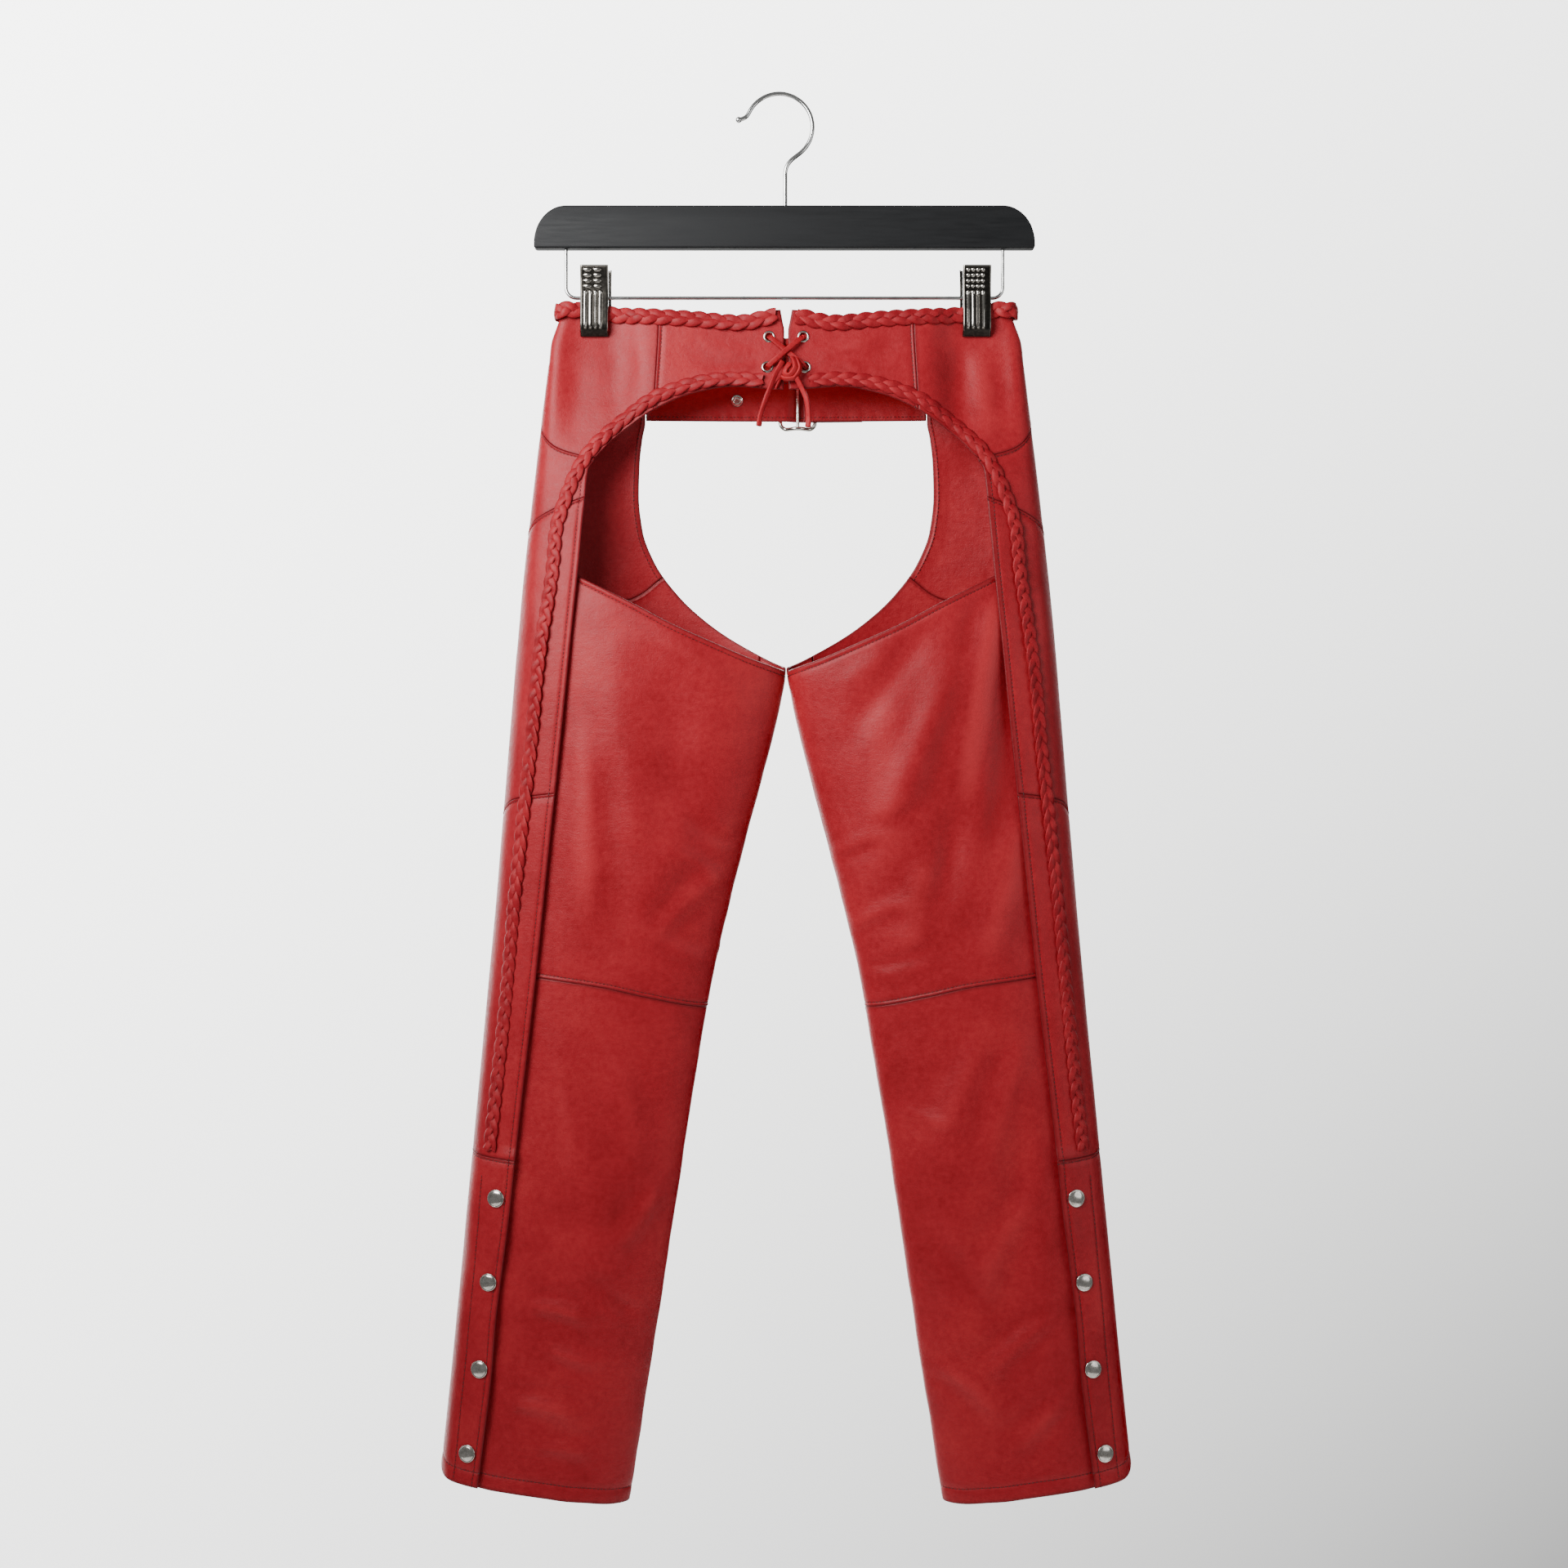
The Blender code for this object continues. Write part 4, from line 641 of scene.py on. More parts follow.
def shellPiece(name, surface, flip):
    # a thin wall through the surface's points, closed and rounded at its edges
    outer, inner = skinOffsets(surface)
    points, normals = surface["points"], surface["normals"]
    tall, wide = outer.shape
    count = tall * wide
    verts = np.concatenate([(points + normals * outer[..., None]).reshape(-1, 3),
                            (points + normals * inner[..., None]).reshape(-1, 3)])
    index = np.arange(count).reshape(tall, wide)
    a, b, c, d = index[:-1, :-1], index[:-1, 1:], index[1:, 1:], index[1:, :-1]
    quads = np.stack([a, d, c, b], axis=-1).reshape(-1, 4)
    if flip:
        quads = quads[:, ::-1]
    faces = [tuple(q) for q in quads] + [tuple(q[::-1] + count) for q in quads]
    reliefPart = np.clip(0.5 + surface["relief"] / 6.0, 0, 1)
    # the seam attribute carries the seam darkening, dirt with painted shade
    attributes = {"relief": np.tile(reliefPart.ravel(), 2),
                  "seam": np.tile(surface["shade"].ravel(), 2)}
    made = pieceFrom(name, verts, faces, garmentLeather, attributes)
    weld = bmesh.new()
    weld.from_mesh(made.data)
    bmesh.ops.remove_doubles(weld, verts=weld.verts, dist=0.000002)
    weld.to_mesh(made.data)
    weld.free()
    return made


def declareSheet(made, node):
    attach(made, "root")
    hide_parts(node)


def pierce(made, places, radius):
    # cuts round holes through a piece, at places that each carry a direction
    cutter = bmesh.new()
    for at, axis in places:
        turn = Vector((0, 0, 1)).rotation_difference(Vector(axis)).to_matrix().to_4x4()
        turn.translation = Vector(at) * mm
        bmesh.ops.create_cone(cutter, cap_ends=True, segments=32, radius1=radius * mm,
                              radius2=radius * mm, depth=9 * mm, matrix=turn)
    mesh = bpy.data.meshes.new("punch")
    cutter.to_mesh(mesh)
    cutter.free()
    punch = bpy.data.objects.new("punch", mesh)
    bpy.context.scene.collection.objects.link(punch)
    hole = made.modifiers.new("hole", "BOOLEAN")
    hole.operation = "DIFFERENCE"
    hole.solver = "EXACT"
    hole.object = punch
    graph = bpy.context.evaluated_depsgraph_get()
    cut = bpy.data.meshes.new_from_object(made.evaluated_get(graph))
    made.modifiers.remove(hole)
    made.data = cut
    bpy.data.objects.remove(punch)


eyelet = {"bore": 3.1, "radius": 5.25, "hole": 3.6, "places": ((14.5, -209), (16, -235.5)),
          "strap": (-42.5, -257.5), "sides": 44}
surfaces, skins = {}, {}
for side, letter in ((-1, "left"), (1, "right")):
    corners, around = [], []
    for name, panel in panels.items():
        surface = surfaces[name, letter] = panelSurface(side, name)
        made = shellPiece(f"leather_{name}_{letter}", surface, (side > 0) != panel["strip"])
        if panel["strip"]:
            around += [[len(corners) + v for v in face.vertices] for face in made.data.polygons]
            corners += [vertex.co.copy() for vertex in made.data.vertices]
        if name == "back_yoke":
            turns = [(float(roundAt(x, z)), z) for x, z in eyelet["places"]]
            pierce(made, [(clothPoints(side, t, z, True), clothNormals(side, t, z, True))
                          for t, z in turns], eyelet["hole"])
        declareSheet(made, f"{name}_{letter}")
    skins[letter] = BVHTree.FromPolygons(corners, around)
print("leather panels made:", len(surfaces))


# Threads and plaits run along lines of points that carry the leather's outward direction
def surfaceLine(surface, edge, inset, outerSide=True):
    # the points of a skin at an even distance in from one of the piece's edges
    outer, inner = skinOffsets(surface)
    skin = surface["points"] + surface["normals"] * (outer if outerSide else inner)[..., None]
    normals = surface["normals"] * (1 if outerSide else -1)
    away = surface["apart"][edge]
    if edge in ("start", "end"):
        skin, normals = skin.transpose(1, 0, 2), normals.transpose(1, 0, 2)
        away = away.T
    if edge in ("foot", "end"):
        skin, normals, away = skin[::-1], normals[::-1], away[::-1]
    line, facing = [], []
    for column in range(away.shape[1]):
        line.append([np.interp(inset, away[:, column], skin[:, column, i]) for i in range(3)])
        facing.append([np.interp(inset, away[:, column], normals[:, column, i]) for i in range(3)])
    return np.array(line), np.array(facing)


def lineObject(name, lines):
    # loose lines as one mesh of edges, with the outward direction on every point
    mesh = bpy.data.meshes.new(name)
    verts, edges, facing = [], [], []
    for points, normals in lines:
        first = len(verts)
        verts += [tuple(p) for p in np.asarray(points) * mm]
        facing += [tuple(n) for n in normals]
        edges += [(first + i, first + i + 1) for i in range(len(points) - 1)]
    mesh.from_pydata(verts, edges, [])
    layer = mesh.attributes.new("outward", "FLOAT_VECTOR", "POINT")
    layer.data.foreach_set("vector", np.array(facing, dtype=np.float32).ravel())
    made = bpy.data.objects.new(name, mesh)
    bpy.context.scene.collection.objects.link(made)
    return made


def newTree(name, inputs):
    tree = bpy.data.node_groups.new(name, "GeometryNodeTree")
    tree.interface.new_socket("Geometry", in_out="INPUT", socket_type="NodeSocketGeometry")
    for label, kind in inputs:
        tree.interface.new_socket(label, in_out="INPUT", socket_type=kind)
    tree.interface.new_socket("Geometry", in_out="OUTPUT", socket_type="NodeSocketGeometry")
    return tree, addNode(tree, "NodeGroupInput"), addNode(tree, "NodeGroupOutput")


def applyTree(made, tree, values):
    # sets the inputs by identifier, keeps the result as a plain mesh and drops the modifier
    modifier = made.modifiers.new(tree.name, "NODES")
    modifier.node_group = tree
    for item in tree.interface.items_tree:
        if item.in_out == "INPUT" and item.name in values:
            modifier[item.identifier] = values[item.name]
    made.update_tag()
    graph = bpy.context.evaluated_depsgraph_get()
    result = bpy.data.meshes.new_from_object(made.evaluated_get(graph))
    name = made.name
    bpy.data.objects.remove(made)
    finished = bpy.data.objects.new(name, result)
    bpy.context.scene.collection.objects.link(finished)
    result.shade_smooth()
    return finished


# Bonded sewing thread: tight little bars, a shade deeper than the leather, with a dull sheen
thread = {"pitch": 3.3, "length": 2.4, "thick": 0.8, "sink": 0.12}


def threadMaterial():
    made, tree, shader = newMaterial("bonded polyester thread, twisted", {"Roughness": 0.5})
    where = addNode(tree, "ShaderNodeTexCoord").outputs["Object"]
    fuzz = addNode(tree, "ShaderNodeTexNoise", {"Vector": where, "Scale": 900.0, "Detail": 2.0})
    colour = ramp(tree, fuzz.outputs["Fac"], ((0.3, "#3E0407"), (0.7, "#640A0D")))
    tree.links.new(colour, shader.inputs["Base Color"])
    bump = addNode(tree, "ShaderNodeBump", {"Strength": 0.4, "Distance": 0.0002,
                                            "Height": fuzz.outputs["Fac"]})
    tree.links.new(bump.outputs["Normal"], shader.inputs["Normal"])
    return made


def stitchTree():
    # a short thread bar at every pitch of each line, lying along it and facing out
    tree, inward, outward = newTree("stitches", (("Pitch", "NodeSocketFloat"),
                                                 ("Length", "NodeSocketFloat"),
                                                 ("Thickness", "NodeSocketFloat"),
                                                 ("Thread", "NodeSocketMaterial")))
    curve = addNode(tree, "GeometryNodeMeshToCurve", {0: inward.outputs["Geometry"]})
    facing = addNode(tree, "GeometryNodeInputNamedAttribute", {"Name": "outward"},
                     data_type="FLOAT_VECTOR")
    turned = addNode(tree, "GeometryNodeSetCurveNormal", {0: curve.outputs[0],
                                                          "Normal": facing.outputs["Attribute"]},
                     mode="FREE")
    spots = addNode(tree, "GeometryNodeCurveToPoints", {"Curve": turned.outputs[0],
                                                        "Length": inward.outputs["Pitch"]},
                    mode="LENGTH")
    aim = addNode(tree, "FunctionNodeAxesToRotation", {"Primary Axis": spots.outputs["Tangent"],
                                                       "Secondary Axis": spots.outputs["Normal"]},
                  primary_axis="X", secondary_axis="Z")
    size = addNode(tree, "ShaderNodeCombineXYZ", {"X": inward.outputs["Length"],
                                                  "Y": inward.outputs["Thickness"],
                                                  "Z": inward.outputs["Thickness"]})
    bar = addNode(tree, "GeometryNodeMeshUVSphere", {"Segments": 6, "Rings": 4, "Radius": 0.5})
    lying = addNode(tree, "GeometryNodeTransform", {"Geometry": bar.outputs["Mesh"],
                                                    "Rotation": (0, math.pi / 2, 0)})
    placed = addNode(tree, "GeometryNodeInstanceOnPoints", {"Points": spots.outputs["Points"],
                                                            "Instance": lying.outputs["Geometry"],
                                                            "Rotation": aim.outputs["Rotation"],
                                                            "Scale": size.outputs["Vector"]})
    real = addNode(tree, "GeometryNodeRealizeInstances", {0: placed.outputs["Instances"]})
    dressed = addNode(tree, "GeometryNodeSetMaterial", {"Geometry": real.outputs[0],
                                                        "Material": inward.outputs["Thread"]})
    tree.links.new(dressed.outputs[0], outward.inputs["Geometry"])
    return tree


threadFinish = threadMaterial()
stitches = stitchTree()


def stitchLines(side, letter):
    lines = []
    for name, panel in panels.items():
        surface = surfaces[name, letter]
        for edge, (edgeKind, inset) in panel["edges"].items():
            if not inset:
                continue
            for outerSide in (True, False) if name in ("front_upper",) else (True,):
                line, facing = surfaceLine(surface, edge, inset, outerSide)
                keep = slice(2, -2)
                lines.append((line[keep] + facing[keep] * thread["sink"], facing[keep]))
    z = np.linspace(secondRow[0][0], secondRow[-1][0], 90)
    turn = roundAt(along(secondRow, z), z)
    normals = clothNormals(side, turn, z, True)
    above = clothPoints(side, turn, z, True) + normals * 8
    points = [skins[letter].ray_cast(Vector(p) * mm, Vector(-n))[0] for p, n in zip(above, normals)]
    lines.append((np.array(points) / mm + normals * thread["sink"], normals))
    return lines


for side, letter in ((-1, "left"), (1, "right")):
    rows = lineObject(f"stitches_{letter}", stitchLines(side, letter))
    sewn = applyTree(rows, stitches, {"Pitch": thread["pitch"] * mm, "Length": thread["length"] * mm,
                                      "Thickness": thread["thick"] * mm, "Thread": threadFinish})
    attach(sewn, "root")
print("stitches sewn")

# Three strips of the same leather, plaited flat and sewn along the edge. Each rounds over at
# its sides, where the raw cut shows a little darker
plait = {
    "waist": {"width": 14.8, "pitch": 12.8, "strand": 7.2, "thick": 2.0, "rise": 0.8},
    "side": {"width": 13.0, "pitch": 12.8, "strand": 6.6, "thick": 1.9, "rise": 0.75},
    "step": 1.5,
    # x and height of the trim's middle line, along the arch and down the flap
    "sidePath": (
        (20, -248), (42, -246), (65, -247.5), (88, -252.5), (110, -261), (130, -274),
        (151, -291), (165, -305), (176, -322), (184, -340), (191, -360), (194.7, -376),
        (197, -408), (204, -456), (209.5, -503), (214, -550), (223, -630), (229.5, -695),
        (236.5, -768), (243, -830), (250.5, -899),
    ),
    "waistDrop": 5.6,
    "sideClear": 2.0,         # how far it stands off where it bends round the side
}
strapNappa = dict(nappa, deep="#700C14", middle="#8C141E", light="#9E2228", mottle=3.2, cloud=22.0)
plaitLeather = leatherMaterial("nappa strip, cut and plaited", strapNappa, 0.47, 1.2, 0.03)


def plaitTree():
    tree, inward, outward = newTree("plait", (
        ("Reach", "NodeSocketFloat"), ("Rise", "NodeSocketFloat"), ("Pitch", "NodeSocketFloat"),
        ("Strand width", "NodeSocketFloat"), ("Thickness", "NodeSocketFloat"),
        ("Leather", "NodeSocketMaterial")))
    facing = addNode(tree, "GeometryNodeInputNamedAttribute", {"Name": "outward"},
                     data_type="FLOAT_VECTOR").outputs["Attribute"]
    circle = addNode(tree, "GeometryNodeCurvePrimitiveCircle", {"Resolution": 10, "Radius": 0.5})
    flat = addNode(tree, "ShaderNodeCombineXYZ", {"X": inward.outputs["Thickness"],
                                                  "Y": inward.outputs["Strand width"], "Z": 1.0})
    profile = addNode(tree, "GeometryNodeTransform", {"Geometry": circle.outputs["Curve"],
                                                      "Scale": flat.outputs["Vector"]})
    joined = addNode(tree, "GeometryNodeJoinGeometry")
    for strand in range(3):
        curve = addNode(tree, "GeometryNodeMeshToCurve", {0: inward.outputs["Geometry"]})
        distance = addNode(tree, "GeometryNodeSplineParameter").outputs["Length"]
        turns = addNode(tree, "ShaderNodeMath", {0: distance, 1: inward.outputs["Pitch"]},
                        operation="DIVIDE")
        angle = addNode(tree, "ShaderNodeMath", {0: turns.outputs[0], 1: math.tau / 3,
                                                 2: strand * math.tau / 3},
                        operation="MULTIPLY_ADD").outputs[0]
        double = addNode(tree, "ShaderNodeMath", {0: angle, 1: 2.0}, operation="MULTIPLY")
        swing = addNode(tree, "ShaderNodeMath", {0: angle}, operation="SINE")
        lift = addNode(tree, "ShaderNodeMath", {0: double.outputs[0]}, operation="SINE")
        sideways = addNode(tree, "ShaderNodeMath", {0: swing.outputs[0],
                                                    1: inward.outputs["Reach"]},
                           operation="MULTIPLY")
        upward = addNode(tree, "ShaderNodeMath", {0: lift.outputs[0], 1: inward.outputs["Rise"]},
                         operation="MULTIPLY")
        tangent = addNode(tree, "GeometryNodeInputTangent").outputs["Tangent"]
        beside = addNode(tree, "ShaderNodeVectorMath", {0: facing, 1: tangent},
                         operation="CROSS_PRODUCT").outputs["Vector"]
        move = addNode(tree, "ShaderNodeVectorMath", {0: beside, "Scale": sideways.outputs[0]},
                       operation="SCALE")
        rise = addNode(tree, "ShaderNodeVectorMath", {0: facing, "Scale": upward.outputs[0]},
                       operation="SCALE")
        offset = addNode(tree, "ShaderNodeVectorMath", {0: move.outputs["Vector"],
                                                        1: rise.outputs["Vector"]},
                         operation="ADD")
        placed = addNode(tree, "GeometryNodeSetPosition", {"Geometry": curve.outputs[0],
                                                           "Offset": offset.outputs["Vector"]})
        # the strip leans over as it swings across, so that it lies on the one below
        lean = addNode(tree, "ShaderNodeMath", {0: angle}, operation="COSINE")
        leaned = addNode(tree, "ShaderNodeMath", {0: lean.outputs[0], 1: -0.26},
                         operation="MULTIPLY")
        tilt = addNode(tree, "ShaderNodeVectorMath", {0: beside, "Scale": leaned.outputs[0]},
                       operation="SCALE")
        normal = addNode(tree, "ShaderNodeVectorMath", {0: facing, 1: tilt.outputs["Vector"]},
                         operation="ADD")
        # painted highlight and shade: the strand's height goes in as relief, so the tops are coloured lighter and the
        # low crossings darker
        high = addNode(tree, "ShaderNodeMath", {0: lift.outputs[0], 1: 0.24, 2: 0.56},
                       operation="MULTIPLY_ADD")
        shaded = addNode(tree, "GeometryNodeStoreNamedAttribute", {
            "Geometry": placed.outputs["Geometry"], "Name": "relief", "Value": high.outputs[0]},
                         data_type="FLOAT", domain="POINT")
        turned = addNode(tree, "GeometryNodeSetCurveNormal", {0: shaded.outputs["Geometry"],
                                                              "Normal": normal.outputs["Vector"]},
                         mode="FREE")
        swept = addNode(tree, "GeometryNodeCurveToMesh", {
            "Curve": turned.outputs[0], "Profile Curve": profile.outputs["Geometry"],
            "Fill Caps": True})
        tree.links.new(swept.outputs["Mesh"], joined.inputs[0])
    real = addNode(tree, "GeometryNodeRealizeInstances", {0: joined.outputs[0]})
    dressed = addNode(tree, "GeometryNodeSetMaterial", {"Geometry": real.outputs[0],
                                                        "Material": inward.outputs["Leather"]})
    tree.links.new(dressed.outputs[0], outward.inputs["Geometry"])
    return tree


def evenly(points, step, *others):
    # the same line with its points a step apart
    arc = lengths(points[None], 1)[0]
    spots = np.linspace(0, arc[-1], max(round(arc[-1] / step), 2) + 1)
    sampled = [np.stack([np.interp(spots, arc, row[:, i]) for i in range(row.shape[1])], axis=1)
               for row in (points, *others)]
    return sampled


def reliefAt(side, turn, z, points):
    # what the skin of the strip rises by there, less the unevenness that a trim presses flat
    x = (points[:, 0] - garment["middleX"]) * side
    front = turn < 0
    return np.where(front, creaseLift("strip", side, x, z, True), creaseLift("strip", side, x, z, False))


def trimLine(side, turn, z, lift):
    points, normals = clothPoints(side, turn, z, True), clothNormals(side, turn, z, True)
    rise = garment["wall"] / 2 + lift + np.maximum(reliefAt(side, turn, z, points), 0)
    rise = rise + plait["sideClear"] * (1 - smoothStep(0.1, 0.22, np.abs(turn)))
    points, normals = evenly(points + normals * rise[:, None], plait["step"], normals)
    return points, normals / np.linalg.norm(normals, axis=1, keepdims=True)


def sidePlaitLine(side):
    table = plait["sidePath"]
    rows = np.array(table, dtype=float)
    arc = lengths(rows[None], 1)[0]
    spots = np.linspace(0, arc[-1], 700)
    x = along(list(zip(arc, rows[:, 0])), spots)
    z = along(list(zip(arc, rows[:, 1])), spots)
    return trimLine(side, roundAt(x, z), z, plait["side"]["thick"] / 2 + plait["side"]["rise"] - 0.2)


def waistPlaitLine(side):
    x = np.linspace(8.6, 186, 260)
    z = along(garment["waist"], x) - plait["waistDrop"]
    turn = roundAt(x, z)
    middleTurn = np.linspace(turn[-1], -0.055, 60)[1:]
    middleZ = np.interp(middleTurn[::-1], [-0.055, turn[-1]], [-185.6, z[-1]])[::-1]
    farX = np.linspace(float(xAcross(-0.055, -185.6)), 177, 40)[1:]
    farZ = np.linspace(-185.6, -189.2, 40)[1:]
    turn = np.concatenate([turn, middleTurn, -roundAt(farX, farZ)])
    z = np.concatenate([z, middleZ, farZ])
    return trimLine(side, turn, z, plait["waist"]["thick"] / 2 + plait["waist"]["rise"] - 0.2)


plaits = plaitTree()
for side, letter in ((-1, "left"), (1, "right")):
    for name, line in (("waist", waistPlaitLine(side)), ("side", sidePlaitLine(side))):
        sizes = plait[name]
        rows = lineObject(f"plait_{name}_{letter}", [line])
        trim = applyTree(rows, plaits, {
            "Reach": (sizes["width"] - sizes["strand"]) / 2 * mm, "Rise": sizes["rise"] * mm,
            "Pitch": sizes["pitch"] * mm, "Strand width": sizes["strand"] * mm,
            "Thickness": sizes["thick"] * mm, "Leather": plaitLeather})
        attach(trim, "root")
        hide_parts(f"{name}_braid_{letter}")
print("trims plaited")

# Sweeps and turnings, for wire, thongs and small hardware
def lineThrough(rows, step):
    rows = np.array(rows, dtype=float)
    arc = lengths(rows[None], 1)[0]
    spots = np.linspace(0, arc[-1], max(round(arc[-1] / step), 2) + 1)
    return np.stack([along(list(zip(arc, rows[:, i])), spots) for i in range(3)], axis=1)


def roundEnds(path, radius, step):
    # the line again with close points at its ends, and how wide the piece is at each
    arc = lengths(path[None], 1)[0]
    curl = radius * (1 - np.cos(np.linspace(0.2, math.pi / 2, 6)))
    count = max(round((arc[-1] - 2 * radius) / step), 2)
    middle = np.linspace(radius, arc[-1] - radius, count + 1)[1:-1]
    spots = np.concatenate([curl, middle, (arc[-1] - curl)[::-1]])
    away = np.minimum(np.minimum(spots, arc[-1] - spots) / radius, 1)
    line = np.stack([np.interp(spots, arc, path[:, i]) for i in range(3)], axis=1)
    return line, np.sqrt(1 - (1 - away) ** 2)


def thong(width, thick, sides=14):
    # a flat strip's section with soft corners
    angles = np.arange(sides) * math.tau / sides
    c, s = np.cos(angles), np.sin(angles)
    return np.stack([np.sign(c) * np.abs(c) ** 0.6 * width / 2,
                     np.sign(s) * np.abs(s) ** 0.6 * thick / 2], axis=1)


def wireSection(radius, sides=16):
    angles = np.arange(sides) * math.tau / sides
    return np.stack([np.cos(angles), np.sin(angles)], axis=1) * radius


def sweep(path, facing, section, scale=None, closed=False):
    # carries a section of (beside, outward) pairs along a path and closes its ends
    path = np.asarray(path, dtype=float)
    facing = np.broadcast_to(np.asarray(facing, dtype=float), path.shape)
    way = np.roll(path, -1, axis=0) - np.roll(path, 1, axis=0) if closed else np.gradient(path, axis=0)
    way = way / np.linalg.norm(way, axis=1, keepdims=True)
    beside = np.cross(way, facing)
    beside = beside / np.linalg.norm(beside, axis=1, keepdims=True)
    outward = np.cross(beside, way)
    scale = np.ones(len(path)) if scale is None else scale
    reach = section[None] * scale[:, None, None]
    verts = path[:, None] + beside[:, None] * reach[..., :1] + outward[:, None] * reach[..., 1:]
    rings, sides = len(path), len(section)
    index = np.arange(rings * sides).reshape(rings, sides)
    after, beyond = np.roll(index, -1, axis=1), np.roll(index, -1, axis=0)
    quads = np.stack([index, after, np.roll(beyond, -1, axis=1), beyond], axis=-1)
    faces = [tuple(q) for q in (quads if closed else quads[:-1]).reshape(-1, 4)]
    if not closed:
        faces += [tuple(index[0]), tuple(index[-1])]
    return verts.reshape(-1, 3), faces


def lathe(profile, at, axis, sides):
    # turns a closed profile of (radius, height) round an axis
    turn = Vector((0, 0, 1)).rotation_difference(Vector(axis)).to_matrix()
    angles = np.arange(sides) * math.tau / sides
    profile = np.array(profile, dtype=float)
    local = np.stack([np.outer(profile[:, 0], np.cos(angles)), np.outer(profile[:, 0], np.sin(angles)),
                      np.repeat(profile[:, 1:], sides, axis=1)], axis=-1)
    verts = local.reshape(-1, 3) @ np.array(turn).T + np.asarray(at)
    index = np.arange(len(verts)).reshape(len(profile), sides)
    after, beyond = np.roll(index, -1, axis=1), np.roll(index, -1, axis=0)
    quads = np.stack([index, after, np.roll(beyond, -1, axis=1), beyond], axis=-1)
    return verts, [tuple(q) for q in quads.reshape(-1, 4)]


def solidPiece(name, shells, material, nodes, smoothAngle=35, reliefs=None):
    # closed shells in millimetres as one finished piece that stands for CAD nodes
    verts, faces, relief = [], [], []
    for number, (points, quads) in enumerate(shells):
        first = len(verts)
        verts += [tuple(p) for p in points]
        faces += [tuple(first + v for v in quad) for quad in quads]
        relief += list(reliefs[number] if reliefs else np.full(len(points), 0.5))
    made = pieceFrom(name, verts, faces, material, {"relief": relief})
    tidy = bmesh.new()
    tidy.from_mesh(made.data)
    bmesh.ops.remove_doubles(tidy, verts=tidy.verts, dist=0.000001)
    bmesh.ops.dissolve_degenerate(tidy, edges=tidy.edges, dist=0.0000001)
    bmesh.ops.recalc_face_normals(tidy, faces=tidy.faces)
    tidy.to_mesh(made.data)
    tidy.free()
    made.data.shade_smooth()
    made.data.set_sharp_from_angle(angle=math.radians(smoothAngle))
    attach(made, "root")
    if nodes:
        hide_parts(*nodes)
    return made


def onSkin(letter, point, normal, spread=0.0):
    # how high the dressed leather stands there, over a small round
    point, normal = Vector(point), Vector(normal)
    across = normal.orthogonal().normalized()
    up = normal.cross(across)
    heights = []
    for ring in (0.0, spread * 0.6, spread):
        for k in range(8):
            angle = k * math.tau / 8
            spot = point + (across * math.cos(angle) + up * math.sin(angle)) * ring
            hit = skins[letter].ray_cast((spot + normal * 9) * mm, -normal, 0.014)
            if hit[0]:
                heights.append((hit[0] / mm - point).dot(normal))
    return max(heights) if heights else garment["wall"] / 2


# Bright nickel plate on pressed brass: mirror-like with a faint warm cast, dulled by handling
nickel = {"bright": "#D9D5CE", "dull": "#A9A49B", "roughness": 0.13}
# Chrome plate on drawn steel wire: colder, with faint rings where the wire was drawn and bent
chrome = {"bright": "#E2E2E0", "dull": "#B4B5B5", "roughness": 0.09}


def platedMetal(name, colours, patch, grit):
    made, tree, shader = newMaterial(name, {"Metallic": 1.0})
    where = addNode(tree, "ShaderNodeTexCoord").outputs["Object"]
    haze = addNode(tree, "ShaderNodeTexNoise", {"Vector": where, "Scale": 1000 / patch,
                                                "Detail": 5.0, "Roughness": 0.65})
    colour = ramp(tree, haze.outputs["Fac"], ((0.32, colours["dull"]), (0.6, colours["bright"])))
    tree.links.new(colour, shader.inputs["Base Color"])
    gloss = addNode(tree, "ShaderNodeMapRange", {0: haze.outputs["Fac"], 1: 0.3, 2: 0.7,
                                                 3: colours["roughness"] + 0.12,
                                                 4: colours["roughness"]})
    tree.links.new(gloss.outputs[0], shader.inputs["Roughness"])
    scuff = addNode(tree, "ShaderNodeTexNoise", {"Vector": where, "Scale": 1000 / grit,
                                                 "Detail": 3.0, "Distortion": 1.4})
    bump = addNode(tree, "ShaderNodeBump", {"Strength": 0.12, "Distance": 0.00008,
                                            "Height": scuff.outputs["Fac"]})
    tree.links.new(bump.outputs["Normal"], shader.inputs["Normal"])
    return made


nickelPlate = platedMetal("nickel plated brass, pressed", nickel, 4.0, 0.9)
chromeWire = platedMetal("chrome plated steel wire, drawn", chrome, 9.0, 1.2)

# Snap caps: a low dome inside a rolled rim
snapCap = {"radius": 7.5, "sides": 48, "rise": 0.08,
           "profile": ((0, 2.35), (1.6, 2.32), (3.2, 2.2), (4.6, 1.95), (5.6, 1.6), (6.15, 1.28),
                       (6.4, 1.2), (6.7, 1.34), (7.05, 1.42), (7.35, 1.25), (7.5, 0.9), (7.48, 0.5),
                       (7.3, 0.15), (6.9, 0), (0, 0))}
for side, letter in ((-1, "left"), (1, "right")):
    for number, (x, z) in enumerate(garment["snaps"], 1):
        turn = float(roundAt(x, z))
        at, normal = clothPoints(side, turn, z, True), clothNormals(side, turn, z, True)
        height = onSkin(letter, at, normal, snapCap["radius"])
        cap = lathe(snapCap["profile"], at + normal * (height + snapCap["rise"]), normal,
                    snapCap["sides"])
        solidPiece(f"snap_cap_{letter}_{number}", [cap], nickelPlate,
                   [f"snap_{letter}_{number}"], 60)
print("snaps set")


